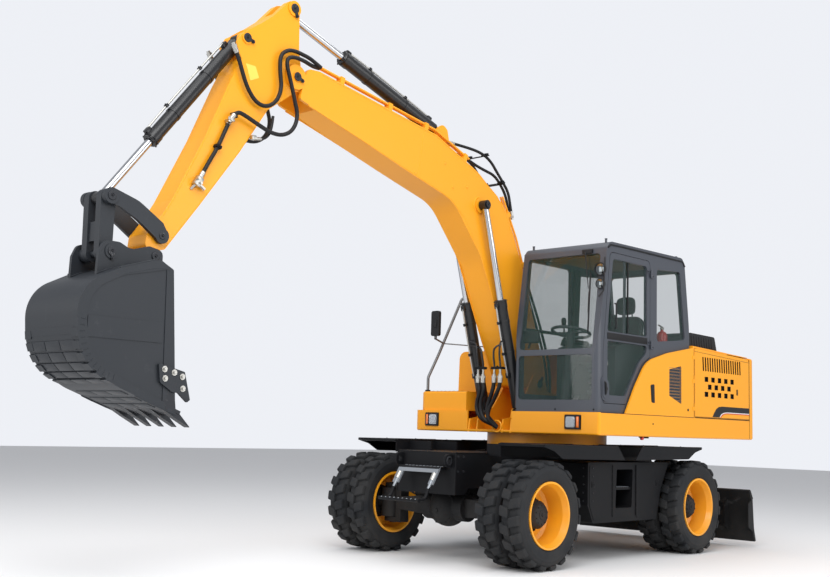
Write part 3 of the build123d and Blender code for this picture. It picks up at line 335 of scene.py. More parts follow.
# %% Chrome, glass, mirror and lamp lens
rod_chrome, tree, shader = new_finish("rod chrome")
set_inputs(shader, {"Metallic": 1.0, "Base Color": (0.52, 0.53, 0.55, 1)})
place = add_node(tree, "TexCoord")
rings = add_node(tree, "TexNoise", {"Scale": 55.0, "Detail": 3.0})
spread = add_node(tree, "MapRange", {"To Min": 0.08, "To Max": 0.22})
wire(
    tree,
    (place, "Object", rings, "Vector"),
    (rings, "Fac", spread, "Value"),
    (spread, "Result", shader, "Roughness"),
)


def tinted_glass(name, tint, alpha):
    material, tree, shader = new_finish(name)
    set_inputs(shader, {"Alpha": alpha, "IOR": 1.5, "Coat Weight": 1.0, "Coat Roughness": 0.01})
    film = {"Colour": (*tint, 1), "Dust": (0.30, 0.30, 0.27, 1), "Amount": 0.08, "Reach": 4.0}
    soil = add_node(tree, "Group", film, node_tree=road_dust)
    waves = {"Roughness": 0.02, "Uneven": 0.03, "Grain": 3.0, "Depth": 0.02}
    skin = add_node(tree, "Group", waves, node_tree=paint_skin)
    wire(
        tree,
        (soil, "Colour", shader, "Base Color"),
        (skin, "Roughness", shader, "Roughness"),
        (skin, "Normal", shader, "Normal"),
    )
    return material


cab_glass_tint = tinted_glass("tinted cab glass", (0.012, 0.046, 0.036), 0.24)
# The mirror's base colour is dark grey as a painted dark reflection; the dust group adds real smudges.
mirror_with_painted_dark_reflection, tree, shader = new_finish("mirror with painted dark reflection")
set_inputs(shader, {"Metallic": 1.0})
dark_reflection_and_smudges = {"Colour": (0.16, 0.18, 0.19, 1), "Amount": 0.25, "Reach": 6.0, "Patches": 22.0}
soil = add_node(tree, "Group", dark_reflection_and_smudges, node_tree=road_dust)
skin = add_node(tree, "Group", {"Roughness": 0.02, "Depth": 0.0}, node_tree=paint_skin)
wire(
    tree,
    (soil, "Colour", shader, "Base Color"),
    (soil, "Mask", skin, "Mask"),
    (skin, "Roughness", shader, "Roughness"),
)
lamp_lens, tree, shader = new_finish("fluted lamp lens")
glazed = {"Base Color": (0.50, 0.53, 0.56, 1), "Metallic": 0.7, "Roughness": 0.18, "Coat Weight": 1.0}
set_inputs(shader, glazed)
place = add_node(tree, "TexCoord")
flutes = add_node(tree, "TexWave", {"Scale": 38.0}, bands_direction="Y")
bump = add_node(tree, "Bump", {"Strength": 0.5, "Distance": 0.003})
wire(
    tree,
    (place, "Object", flutes, "Vector"),
    (flutes, "Fac", bump, "Height"),
    (bump, "Normal", shader, "Normal"),
)
print("finishes", len(bpy.data.materials))

# %% [markdown]
# ## Dressing the CAD nodes
# A CAD node whose shape is right only needs its finish. The wheels, the pins and the boom's middle
# line are used by many pieces, so their places are named first.

# %% Places that recur
AXLE_Z, REAR_X = 500, -2720
WHEELS = {
    "front_left": (0, 1),
    "front_right": (0, -1),
    "rear_left": (REAR_X, 1),
    "rear_right": (REAR_X, -1),
}
SIDES = ((1, "left"), (-1, "right"))
BOOM_Y = -150
# x and z of the pins at the foot and the eye of each cylinder, and of three pivots
BOOM_CYLINDER = ((-990, 1455), (-355, 3580))
ARM_CYLINDER = ((180, 4275), (2237, 4938))
BUCKET_CYLINDER = ((2745, 4525), (3975, 2930))
BOOM_PIVOT, ARM_PIVOT, LINK_PIVOT = (-1400, 1780), (2201, 4312), (3503, 2690)

# %% Finish by node
finish_nodes = (
    (frame_black, ("chassis_frame", "side_boxes")),
    (axle_black, ("axles", "knuckle_left", "knuckle_right", "engine")),
    (blade_black, ("blade",)),
    (
        machine_yellow,
        ("upper_frame", "counterweight", "body_panels", "engine_door_left", "engine_door_right"),
    ),
    (machine_yellow, ("hood_lid", "deck_boxes", "boom", "arm")),
    (
        cylinder_black,
        ("blade_cylinder_tubes", "boom_cylinder_tubes", "arm_cylinder_tube", "bucket_cylinder_tube"),
    ),
    (rod_chrome, ("blade_cylinder_rods", "boom_cylinder_rods", "arm_cylinder_rod", "bucket_cylinder_rod")),
    (plastic_black, ("intake_box", "front_lamps", "seat")),
    (plastic_grey, ("controls",)),
    (steel_grey, ("handrail",)),
    (cab_grey, ("cab_frame", "cab_roof", "cab_door")),
    (cab_glass_tint, ("cab_glass", "cab_door_glass")),
    (bucket_slate, ("side_links", "bucket_link", "bucket")),
    (tyre_rubber, ["tyres_" + wheel for wheel in WHEELS]),
    (rim_yellow, ["rims_" + wheel for wheel in WHEELS]),
)
for material, names in finish_nodes:
    for name in names:
        mesh = nodes[name].data
        mesh.materials.clear()
        mesh.materials.append(material)


# %% [markdown]
# Some nodes show two finishes, such as a yellow rim with a dark hub, so a few faces get a second
# slot by where they lie.
# A thin cover could hide those faces instead, but a second slot adds no surface that could flicker.

# %% A second finish by place


def second_finish(name, material, where):
    mesh = nodes[name].data
    mesh.materials.append(material)
    index = len(mesh.materials) - 1
    hits = 0
    for face in mesh.polygons:
        centre = face.center * 1000 + Vector((MIDDLE_X, 0, 0))
        if where(centre, face.normal):
            face.material_index = index
            hits += 1
    print(name, "gets", material.name, "on", hits, "faces")


def near(x, z, reach):
    return lambda c, n: math.hypot(c.x - x, c.z - z) < reach


for wheel, (x, side) in WHEELS.items():
    second_finish("rims_" + wheel, axle_black, near(x, AXLE_Z, 172))
for rod, eye, reach in (
    ("boom_cylinder_rods", BOOM_CYLINDER[1], 62),
    ("arm_cylinder_rod", ARM_CYLINDER[1], 62),
    ("bucket_cylinder_rod", BUCKET_CYLINDER[1], 62),
    ("blade_cylinder_rods", (-3780, 480), 60),
):
    second_finish(rod, cylinder_black, near(*eye, reach))


def on_mirror(c, n):
    return -935 < c.x < -925 and 2310 < c.z < 2575 and n.x < -0.9


def on_front_step(c, n):
    return 425 < c.x < 560 and 715 < c.z < 885 and abs(c.y) < 270


def shade_in_door_slot(c, n):
    return abs(n.y) < 0.5 and -3790 < c.x < -2780 and 1690 < c.z < 2150


second_finish("handrail", plastic_black, lambda c, n: -935 < c.x < -890 and c.z > 2296)
second_finish("handrail", mirror_with_painted_dark_reflection, on_mirror)
second_finish("chassis_frame", tread_plate, on_front_step)
second_finish("bucket", worn_steel, lambda c, n: c.z < 1440 and c.x < 3600)
# The side walls of the door's slots get black rubber as painted shade.
for door in ("engine_door_left", "engine_door_right"):
    second_finish(door, seal_rubber, shade_in_door_slot)
link_pin = near(*LINK_PIVOT, 40)
second_finish("arm", worn_steel, lambda c, n: abs(c.y - BOOM_Y) > 130 and link_pin(c, n))

# %% [markdown]
# ## Small tools for modelling
# Bolts, rods, plates and blocks recur on such a machine. Each helper adds one shape to a bmesh that
# is being built.
# Separate objects could be joined later, but adding to one bmesh keeps every piece a single mesh.

# %% Rods, blocks and bolts


def facing(a, b):
    return (b - a).to_track_quat("Z", "Y").to_matrix().to_4x4()


def add_rod(bm, a, b, radius, steps=20, end_radius=None):
    a, b = at(*a), at(*b)
    top = radius if end_radius is None else end_radius
    place = Matrix.Translation((a + b) / 2) @ facing(a, b)
    wide, narrow = radius / 1000, top / 1000
    bmesh.ops.create_cone(
        bm, cap_ends=True, segments=steps, radius1=wide, radius2=narrow, depth=(b - a).length,
        matrix=place,
    )


def round_off(bm, geom, radius, affect="EDGES", steps=2):
    bmesh.ops.bevel(
        bm, geom=geom, offset=radius, offset_type="OFFSET", affect=affect, segments=steps,
        profile=0.5, material=-1,
    )


def add_block(bm, centre, size, turn=(0, 0, 0), soften=3.0):
    spin = Matrix.Identity(4)
    for angle, axis in zip(turn, "XYZ"):
        spin = Matrix.Rotation(math.radians(angle), 4, axis) @ spin
    stretch = Matrix.Diagonal((size[0] / 1000, size[1] / 1000, size[2] / 1000, 1))
    place = Matrix.Translation(at(*centre)) @ spin @ stretch
    made = bmesh.ops.create_cube(bm, size=1.0, matrix=place)["verts"]
    if soften:
        round_off(bm, list({e for v in made for e in v.link_edges}), soften / 1000)


def ring_spots(centre, axis, radius, count, phase=0.0):
    spots = []
    for i in range(count):
        turn = math.tau * (i + phase) / count
        a, b = radius * math.cos(turn), radius * math.sin(turn)
        step = {"x": (0, a, b), "y": (a, 0, b), "z": (a, b, 0)}[axis]
        spots.append(tuple(c + d for c, d in zip(centre, step)))
    return spots


def add_bolt(bm, where, way, size=9.0, height=8.0):
    way = Vector(way).normalized()
    base = Vector(where)
    foot = base + way * height * 0.25
    top = base + way * height
    add_rod(bm, base, foot, size * 1.35, 14)
    add_rod(bm, foot, top, size, 6, size * 0.94)


# %% [markdown]
# An outline that lies in one plane is typed in pairs, and `side_view` or `front_view` puts it in
# its plane.
# It starts as a few corners. Bevelling those vertices rounds them, which is quicker and cleaner
# than working out arcs.

# %% Flat outlines and plates


def side_view(y, points):
    return [(x, y, z) for x, z in points]


def front_view(x, points):
    return [(x, y, z) for y, z in points]


def rectangle(left, right, low, high):
    return [(left, low), (right, low), (right, high), (left, high)]


def flat_sheet(corners, rounding, steps):
    part = bmesh.new()
    verts = [part.verts.new(at(*c)) for c in corners]
    part.faces.new(verts)
    if rounding:
        round_off(part, verts, rounding / 1000, "VERTICES", steps)
    return part


def add_thickened(bm, part, thickness):
    grown = bmesh.ops.extrude_face_region(part, geom=list(part.faces))
    moved = [g for g in grown["geom"] if isinstance(g, bmesh.types.BMVert)]
    bmesh.ops.translate(part, verts=moved, vec=Vector(thickness) / 1000)
    mesh = bpy.data.meshes.new("plate")
    part.to_mesh(mesh)
    part.free()
    bm.from_mesh(mesh)
    bpy.data.meshes.remove(mesh)


def add_plate(bm, corners, thickness, rounding=0.0, steps=3):
    add_thickened(bm, flat_sheet(corners, rounding, steps), thickness)


# %% [markdown]
# Turned parts, such as caps and collars, are a profile that is spun round an axis.
# Cones and discs could be stacked instead, but one profile holds all the steps and rounds.

# %% Turned parts


def add_lathe(bm, centre, axis, profile, steps=48):
    # profile rows: distance along the axis, radius
    axis = Vector(axis).normalized()
    side = axis.orthogonal().normalized()
    start = at(*centre)
    verts = [bm.verts.new(start + axis * (a / 1000) + side * (r / 1000)) for a, r in profile]
    edges = [bm.edges.new((verts[i], verts[i + 1])) for i in range(len(verts) - 1)]
    bmesh.ops.spin(
        bm, geom=verts + edges, cent=start, axis=axis, angle=math.tau, steps=steps, use_merge=True,
        use_duplicate=False,
    )


# %% [markdown]
# `finished` turns a bmesh into a piece that rides on a body. `hose` draws a smooth line with a
# round section, which rides on one body, or stays where it is drawn when two are given.
# A hose could be swept from rings of vertices, but a bevelled curve keeps its section round through
# every bend.

# %% Pieces and hoses


def finished(name, bm, material, body, angle=35.0):
    bmesh.ops.remove_doubles(bm, verts=bm.verts, dist=1e-6)
    bmesh.ops.recalc_face_normals(bm, faces=bm.faces)
    mesh = bpy.data.meshes.new(name)
    bm.to_mesh(mesh)
    bm.free()
    mesh.materials.append(material)
    for face in mesh.polygons:
        face.use_smooth = True
    mesh.set_sharp_from_angle(angle=math.radians(angle))
    obj = bpy.data.objects.new(name, mesh)
    bpy.context.scene.collection.objects.link(obj)
    if body:
        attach(obj, body)
    print(name, len(mesh.polygons), "faces")
    return obj


def hose(name, points, radius, material, body=None, between=None):
    curve = bpy.data.curves.new(name, "CURVE")
    curve.dimensions = "3D"
    curve.bevel_depth = radius / 1000
    curve.bevel_resolution = 4
    curve.resolution_u = 10
    curve.use_fill_caps = True
    line = curve.splines.new("NURBS")
    line.points.add(len(points) - 1)
    for spot, point in zip(line.points, points):
        spot.co = (*at(*point), 1)
    line.order_u = 3
    line.use_endpoint_u = True
    draft = bpy.data.objects.new(name + "_line", curve)
    bpy.context.scene.collection.objects.link(draft)
    shape = bpy.data.meshes.new_from_object(draft.evaluated_get(bpy.context.evaluated_depsgraph_get()))
    bpy.data.objects.remove(draft)
    obj = bpy.data.objects.new(name, shape)
    bpy.context.scene.collection.objects.link(obj)
    shape.materials.clear()
    shape.materials.append(material)
    for face in shape.polygons:
        face.use_smooth = True
    if between:
        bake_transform(obj)
    else:
        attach(obj, body)
    print(name, len(shape.polygons), "faces")
    return obj


# %% [markdown]
# ## Tyres
# A digger tyre is a round carcass with two rows of blocky lugs, set half a pitch apart and slanted
# so that mud is thrown out.
# The carcass is one spun outline. One lug is a tapered, bevelled block that is bent to the tread's
# curve and then copied round, because every lug comes from the same mould.

# %% Two tyres on each wheel
TYRE_R = 500
LUGS = 19
OUTER_TYRE, INNER_TYRE = 1124, 842
carcass = [
    (92, 288), (92, 306), (97, 312), (108, 331), (116, 354), (120, 378), (118.5, 399), (119.6, 403),
    (119.6, 411), (117, 416), (112, 432), (106, 446), (98, 456), (84, 464), (58, 468), (20, 469),
]
carcass = carcass + [(-a, r) for a, r in reversed(carcass)]


def lug_block():
    bm = bmesh.new()
    slant = math.tan(math.radians(15))
    for v in bmesh.ops.create_cube(bm, size=1.0)["verts"]:
        outer = v.co.y > 0
        run = math.copysign(44 if v.co.z > 0 else 51, v.co.x)
        if v.co.z > 0:
            y, z = (102, 494) if outer else (5, 499.4)
        else:
            y, z = 110 if outer else 1, 455
        v.co = Vector((run - (y - 50) * slant, y, z))
    long_edges = [e for e in bm.edges if abs(e.verts[0].co.x - e.verts[1].co.x) > 60]
    bmesh.ops.subdivide_edges(bm, edges=long_edges, cuts=3, use_grid_fill=True)
    edges = [e for e in bm.edges if e.calc_face_angle() > 0.5]
    round_off(bm, edges, 7.0)
    for v in bm.verts:
        angle = v.co.x / TYRE_R
        v.co = Vector((v.co.z * math.sin(angle), v.co.y, v.co.z * math.cos(angle))) / 1000
    mesh = bpy.data.meshes.new("one lug")
    bm.to_mesh(mesh)
    bm.free()
    return mesh


def add_tyre(bm, x, y, lug):
    add_lathe(bm, (x, y, AXLE_Z), (0, 1, 0), carcass, 84)
    for side, start in ((1, 0.0), (-1, 0.5)):
        for i in range(LUGS):
            count = len(bm.verts)
            bm.from_mesh(lug)
            turn = Matrix.Rotation(math.tau * (i + start) / LUGS, 4, "Y")
            place = Matrix.Translation(at(x, y, AXLE_Z)) @ turn @ Matrix.Diagonal((1, side, 1, 1))
            bmesh.ops.transform(bm, matrix=place, verts=list(bm.verts)[count:])


one_lug = lug_block()
for wheel, (x, side) in WHEELS.items():
    bm = bmesh.new()
    add_tyre(bm, x, side * OUTER_TYRE, one_lug)
    add_tyre(bm, x, side * INNER_TYRE, one_lug)
    tyre = finished("lugged_tyres_" + wheel, bm, tyre_rubber, "wheel_" + wheel, 40)
    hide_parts("tyres_" + wheel)

# %% [markdown]
# ## Wheel nuts and hub bolts
# The rims are clamped on studs round the hub, and the hub's cover has its own small bolts and an
# oil plug. They turn with the wheel, so each set is one joined piece on that wheel's body.

# %% Nuts round each hub
for wheel, (x, side) in WHEELS.items():
    bm = bmesh.new()
    mid = side * (OUTER_TYRE + INNER_TYRE) / 2
    for a, y, b in ring_spots((x, mid + side * 17, AXLE_Z), "y", 152, 20):
        add_bolt(bm, (a, y, b), (0, side, 0), 10.5, 20)
        add_rod(bm, (a, mid + side * 30, b), (a, mid + side * 44, b), 6, 10)
    for spot in ring_spots((x, mid + side * 151.5, AXLE_Z), "y", 84, 10, 0.5):
        add_bolt(bm, spot, (0, side, 0), 6.5, 9)
    cap = [(0, 44), (5, 44), (8, 38), (8, 16), (16, 14), (16, 0)]
    add_lathe(bm, (x, mid + side * 154, AXLE_Z), (0, side, 0), cap, 32)
    finished("wheel_nuts_" + wheel, bm, axle_black, "wheel_" + wheel)
    bm = bmesh.new()
    add_rod(bm, (x + 236, side * 1080, AXLE_Z), (x + 236, side * 1100, AXLE_Z), 5, 12)
    add_rod(bm, (x + 236, side * 1098, AXLE_Z), (x + 230, side * 1118, AXLE_Z - 4), 4, 12)
    lip = [(214, 290), (217, 296), (229, 300), (231, 306), (225, 308.5), (217, 306)]
    add_lathe(bm, (x, mid, AXLE_Z), (0, side, 0), lip, 72)
    finished("rim_lip_and_valve_" + wheel, bm, rim_yellow, "wheel_" + wheel)

# %% [markdown]
# ## Driver's seat
# The seat is foam under woven cloth: a base cushion with side bolsters, a tall backrest and a
# headrest. Foam has no hard edges, so each cushion is a coarse block that is pushed into shape and
# then subdivided.
# A plastic shell and a suspension box carry the cushions.

# %% Seat cushions and their shell
woven_black, tree, shader = new_finish("woven black cloth")
set_inputs(shader, {"Roughness": 0.9, "Sheen Weight": 0.3, "Sheen Roughness": 0.5})
yarn = {
    "Scale": 90.0,
    "Color1": (0.022, 0.022, 0.024, 1),
    "Color2": (0.032, 0.032, 0.034, 1),
    "Mortar": (0.008, 0.008, 0.009, 1),
}
place = add_node(tree, "TexCoord")
threads = add_node(tree, "TexBrick", yarn)
weave = add_node(tree, "Bump", {"Strength": 0.35, "Distance": 0.002})
wire(
    tree,
    (place, "Object", threads, "Vector"),
    (threads, "Color", shader, "Base Color"),
    (threads, "Fac", weave, "Height"),
    (weave, "Normal", shader, "Normal"),
)
CAB_MID = 684.5


def cushion(name, rows, half, crown):
    # each row holds x and z of the cushion's back, the way to its face as dx and dz, and its share
    # of the width
    bm = bmesh.new()
    rings = []
    for x, z, dx, dz, width in rows:
        ring = []
        for across, share in ((-1.0, 0), (-0.62, 0.4), (0.0, 1), (0.62, 0.4), (1.0, 0)):
            rise = 1 - crown * share
            ring.append(bm.verts.new(at(x + dx * rise, CAB_MID + across * half * width, z + dz * rise)))
        for across in (1.0, 0.62, 0.0, -0.62, -1.0):
            ring.append(bm.verts.new(at(x, CAB_MID + across * half * width, z)))
        rings.append(ring)
    for one, two in zip(rings, rings[1:]):
        for i in range(10):
            j = (i + 1) % 10
            bm.faces.new((one[i], one[j], two[j], two[i]))
    bm.faces.new(rings[0])
    bm.faces.new(list(reversed(rings[-1])))
    obj = finished(name, bm, woven_black, "upper", 180)
    soft = obj.modifiers.new("foam_and_shade_sheet", "SUBSURF")
    soft.levels = 2
    soft.render_levels = 2
    return obj


base_rows = [
    (-1486, 2025, 0, 40, 0.9), (-1500, 2002, 0, 96, 0.98), (-1640, 1998, 0, 98, 1.0),
    (-1800, 1996, 0, 92, 1.0), (-1925, 1996, 0, 84, 0.98),
]
cushion("seat_base_cushion", base_rows, 232, 0.22)
back_rows = [
    (-2005, 2060, 62, 0, 0.9), (-2040, 2120, 92, 10, 1.0), (-2076, 2260, 100, 14, 1.0),
    (-2110, 2400, 88, 14, 0.96), (-2138, 2510, 70, 12, 0.86), (-2148, 2546, 46, 8, 0.7),
]
back = cushion("seat_back_cushion", back_rows, 232, 0.25)
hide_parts("seat")

# %% [markdown]
# ## More modelling helpers
# A window seal is a rounded outline, inset to a ring and pushed out. A pin end is a turned cap with
# a keeper plate and its bolt. `along` finds a place beside a cylinder's line, and a ferrule is the
# sleeve that is pressed on a hose's end.

# %% Frames, pin ends, places along a cylinder and ferrules


def add_frame(bm, corners, width, thickness, rounding=0.0):
    part = flat_sheet(corners, rounding, 5)
    hole = list(part.faces)
    bmesh.ops.inset_region(part, faces=hole, thickness=width / 1000, use_even_offset=True)
    bmesh.ops.delete(part, geom=hole, context="FACES")
    add_thickened(bm, part, thickness)


def add_pin_end(bm, x, y, z, side, radius, keeper=0.0):
    cap = [(0, radius), (5, radius), (8, radius - 3), (8, radius * 0.45), (4, radius * 0.35), (4, 0)]
    add_lathe(bm, (x, y, z), (0, side, 0), cap, 36)
    add_lathe(bm, (x, y + side * 4, z), (0, side, 0), [(0, 7), (8, 6), (12, 4.5), (12, 0)], 12)
    if keeper:
        turn = math.radians(keeper)
        far = (x + math.cos(turn) * radius * 1.55, y, z + math.sin(turn) * radius * 1.55)
        add_rod(bm, (far[0], y, far[2]), (far[0], y + side * 9, far[2]), radius * 0.42, 18)
        middle = ((x + far[0]) / 2, y + side * 5, (z + far[2]) / 2)
        add_block(bm, middle, (radius * 1.5, 8, radius * 0.7), (0, -keeper, 0), 1.5)
        add_bolt(bm, (far[0], y + side * 9, far[2]), (0, side, 0), 8, 8)


def along(foot, eye, s, off):
    dx, dz = eye[0] - foot[0], eye[1] - foot[1]
    length = math.hypot(dx, dz)
    dx, dz = dx / length, dz / length
    return foot[0] + dx * s - dz * off, foot[1] + dz * s + dx * off


def add_ferrule(bm, a, b, radius):
    a, b = Vector(a), Vector(b)
    way = (b - a).normalized()
    add_rod(bm, a - way * 6, a + way * 46, radius * 1.22, 20)
    add_rod(bm, a - way * 26, a - way * 4, radius * 1.38, 6)
    add_rod(bm, a - way * 44, a - way * 22, radius * 0.9, 16)
    add_rod(bm, a + way * 18, a + way * 24, radius * 1.3, 20)


# %% [markdown]
# ## Hoses over the two boom joints
# High-pressure oil reaches the moving cylinders through rubber hoses. Each hangs in a loop at a pin
# so that it can open and close with the joint.
# A hose held at both ends is drawn as a smooth line with a round section, and it stays where it is
# drawn, on neither of the two bodies.

# %% Hoses from the boom to the arm
high_lead = [(1905, 138, 4480), (1985, 152, 4500), (2070, 168, 4518)]
low_lead = [(1905, 108, 4480), (1985, 130, 4468), (2065, 165, 4462)]
high_loop = [
    (2150, 4526), (2240, 4536), (2326, 4523), (2413, 4454), (2404, 4293), (2377, 4165),
    (2426, 4030), (2542, 3951), (2662, 3973), (2758, 4081), (2819, 4211), (2862, 4316),
    (2905, 4385),
]
low_loop = [
    (2150, 4466), (2250, 4472), (2335, 4450), (2350, 4385), (2300, 4260), (2243, 4089),
    (2192, 3950), (2242, 3811), (2352, 3741), (2483, 3733), (2632, 3776), (2787, 3828),
    (2867, 3838), (2915, 3764),
]
arm_hoses = (("upper", 172, high_lead, high_loop), ("lower", 190, low_lead, low_loop))
for side, tag in SIDES:
    for level, off, lead, loop in arm_hoses:
        y = BOOM_Y + side * off
        points = [(x, BOOM_Y + side * k, z) for x, k, z in lead] + side_view(y, loop)
        span = ("boom", "arm", (2300, y, 4350), (2640, y, 4050))
        hose("arm_hose_%s_%s" % (level, tag), points, 18, hose_rubber, between=span)

# %% [markdown]
# The hoses on the arm itself end at steel fittings. A clamp bar holds each pair to the plate, so
# that they don't chafe.

# %% Hoses, pipes and fittings on the arm
side_course = [(2903, 3761), (2948, 3658), (3011, 3510), (3113, 3329), (3165, 3228)]
short_course = [(2442, 3900), (2450, 3801), (2482, 3719), (2543, 3673), (2610, 3664)]
for side, tag in SIDES:
    hose("arm_side_hose_" + tag, side_view(BOOM_Y + side * 155, side_course), 17, hose_rubber, "arm")
    hose("arm_short_hose_" + tag, side_view(BOOM_Y + side * 150, short_course), 13, hose_rubber, "arm")
bm = bmesh.new()
for side in (1, -1):
    y = BOOM_Y + side * 155
    wall = BOOM_Y + side * 125
    add_ferrule(bm, (2905, y + side * 17, 4385), (2862, y + side * 17, 4316), 18)
    add_ferrule(bm, (2915, y + side * 35, 3764), (2867, y + side * 35, 3838), 18)
    add_ferrule(bm, (2903, y, 3761), (2948, y, 3658), 17)
    add_ferrule(bm, (3165, y, 3228), (3113, y, 3329), 17)
    add_block(bm, (2908, y + side * 4, 3755), (64, 58, 34), (0, 24, 0), 5)
    add_block(bm, (3190, y, 3185), (62, 46, 88), (0, -33, 0), 6)
    add_rod(bm, (3168, y - 4, 3160), (3120, y - 4, 3130), 15, 6)
    add_rod(bm, (3206, y + side * 20, 3205), (3206, y + side * 44, 3205), 15, 6)
    add_rod(bm, (3180, y + side * 20, 3168), (3180, y + side * 40, 3168), 12, 6)
    add_rod(bm, (3210, y, 3160), (3236, wall, 3118), 12, 16)
    short_y = BOOM_Y + side * 150
    add_ferrule(bm, (2610, short_y, 3664), (2543, short_y, 3673), 12)
    add_block(bm, (2640, BOOM_Y + side * 140, 3668), (46, 40, 40), soften=4)
finished("arm_hose_fittings", bm, plated_steel, "arm")
bm = bmesh.new()
for side in (1, -1):
    for x, z, turn in ((3011, 3510, 67), (2860, 3812, 20)):
        add_block(bm, (x, BOOM_Y + side * 150, z), (30, 62, 52), (0, turn, 0), 4)
        add_bolt(bm, (x, BOOM_Y + side * 181, z), (0, side, 0), 7, 8)
    add_block(bm, (2470, BOOM_Y + side * 128, 3900), (26, 12, 26), (0, 20, 0), 3)
finished("arm_clamps", bm, frame_black, "arm")

# %% [markdown]
# Steel pipes carry the oil over the top of the boom, and short rubber lengths bridge the bend,
# where a stiff pipe would crack. They sit on the boom alone.

# %% Hoses over the boom's bend
outer_course = [
    (90, 4150), (-100, 4156), (-390, 4150), (-558, 4090), (-663, 3992), (-769, 3900), (-870, 3805),
    (-912, 3650), (-935, 3560),
]
inner_course = [
    (-140, 4075), (-300, 4020), (-495, 3985), (-664, 3962), (-770, 3880), (-859, 3785),
    (-905, 3660), (-925, 3570),
]
bm = bmesh.new()
for side, tag in SIDES:
    for row, off, course, lift in (("outer", 128, outer_course, 14), ("inner", 96, inner_course, 10)):
        y = BOOM_Y + side * off
        points = [(x, y, z + lift) for x, z in course]
        hose("boom_top_hose_%s_%s" % (row, tag), points, 15, hose_rubber, "boom")
        add_ferrule(bm, points[0], points[1], 15)
        add_ferrule(bm, points[-1], points[-2], 15)
        add_rod(bm, (1900, y, 4482), (1960, y, 4490), 15, 6)
finished("boom_pipe_fittings", bm, plated_steel, "boom")
bm = bmesh.new()
for x, z, turn in ((-480, 4150, 14), (-760, 3900, 42)):
    add_block(bm, (x, BOOM_Y, z - 6), (40, 320, 12), (0, turn, 0), 3)
    for k in (-128, -96, 96, 128):
        add_block(bm, (x, BOOM_Y + k, z + 6), (44, 42, 30), (0, turn, 0), 5)
clamp_bolts = (
    (1640, 4440, 8.6),
    (1000, 4344, 8.6),
    (480, 4265, 8.6),
    (-130, 4072, 20),
    (-867, 3570, 59),
    (-1131, 3060, 66),
)
for x, z, slope in clamp_bolts:
    for side in (1, -1):
        tilt = math.radians(slope)
        top = (x - math.sin(tilt) * 16, BOOM_Y + side * 123, z + math.cos(tilt) * 16)
        add_bolt(bm, top, (-math.sin(tilt), 0, math.cos(tilt)), 9, 10)
finished("boom_hose_clamps", bm, frame_black, "boom")

# %% Hoses down the back of the boom to the deck
fall = [(-1330, 2620), (-1480, 2330), (-1600, 2040), (-1650, 1780)]
for side, tag in SIDES:
    for row, off, bulge in (("inner", 108, 0), ("outer", 138, 26)):
        y = BOOM_Y + side * off
        course = [(-1180, 2955), (-1215, 2860)] + [(x - bulge, z) for x, z in fall] + [(-1640, 1600)]
        span = ("boom", "upper", (-1300, y, 2500), (-1560, y, 1760))
        hose("boom_foot_hose_%s_%s" % (row, tag), side_view(y, course), 15, hose_rubber, between=span)

# %% [markdown]
# ## Pins, caps and welds on the boom and the arm
# Every joint pin is held by a keeper plate and one bolt. Thick plates are joined by fillet welds
# that show as a soft bead along the edge.

# %% Pin ends on the boom, the arm and the links
# each row holds the pin, how far out its end lies, its radius and the keeper plate's angle
pin_rows = {
    ("boom_pin_ends", "boom"): [(ARM_PIVOT, 172, 40, 205), (BOOM_CYLINDER[1], 279, 34, 0)],
    ("arm_pin_ends", "arm"): [
        (ARM_CYLINDER[1], 137, 44, 250),
        (BUCKET_CYLINDER[0], 135, 40, 200),
        (LINK_PIVOT, 163, 30, 0),
        ((3583, 2512), 207, 34, 0),
    ],
    ("link_pin_ends", "side_links"): [(BUCKET_CYLINDER[1], 177, 36, 0)],
    ("bucket_pin_ends", "bucket"): [((3970, 2500), 213, 34, 265)],
    ("deck_pin_ends", "upper"): [(BOOM_PIVOT, 196, 44, 120), (BOOM_CYLINDER[0], 295, 32, 60)],
}
for (name, body), rows in pin_rows.items():
    bm = bmesh.new()
    for side in (1, -1):
        for (x, z), out, radius, keeper in rows:
            add_pin_end(bm, x, BOOM_Y + side * out, z, side, radius, keeper)
    finished(name, bm, worn_steel, body)

# %% Weld beads on the boom and the arm
weld_boom = [
    (2050, 4090), (855, 3782), (389, 3660), (90, 3575), (-140, 3400), (-400, 3040), (-810, 2235),
    (-1040, 1800),
]
weld_top = [
    (1900, 4412), (1100, 4290), (336, 4176), (-320, 3912), (-640, 3730), (-800, 3560),
    (-1060, 3060), (-1400, 2220), (-1480, 2010),
]
seams = bmesh.new()


def add_bead(bm, line, y, radius=6.0):
    for a, b in zip(line, line[1:]):
        length = math.hypot(b[0] - a[0], b[1] - a[1])
        count = max(1, int(length / 120))
        for i in range(count):
            s, e = i / count, (i + 1) / count
            p = (a[0] + (b[0] - a[0]) * s, y, a[1] + (b[1] - a[1]) * s)
            q = (a[0] + (b[0] - a[0]) * e, y, a[1] + (b[1] - a[1]) * e)
            add_rod(bm, p, q, radius, 8, radius * 0.82)


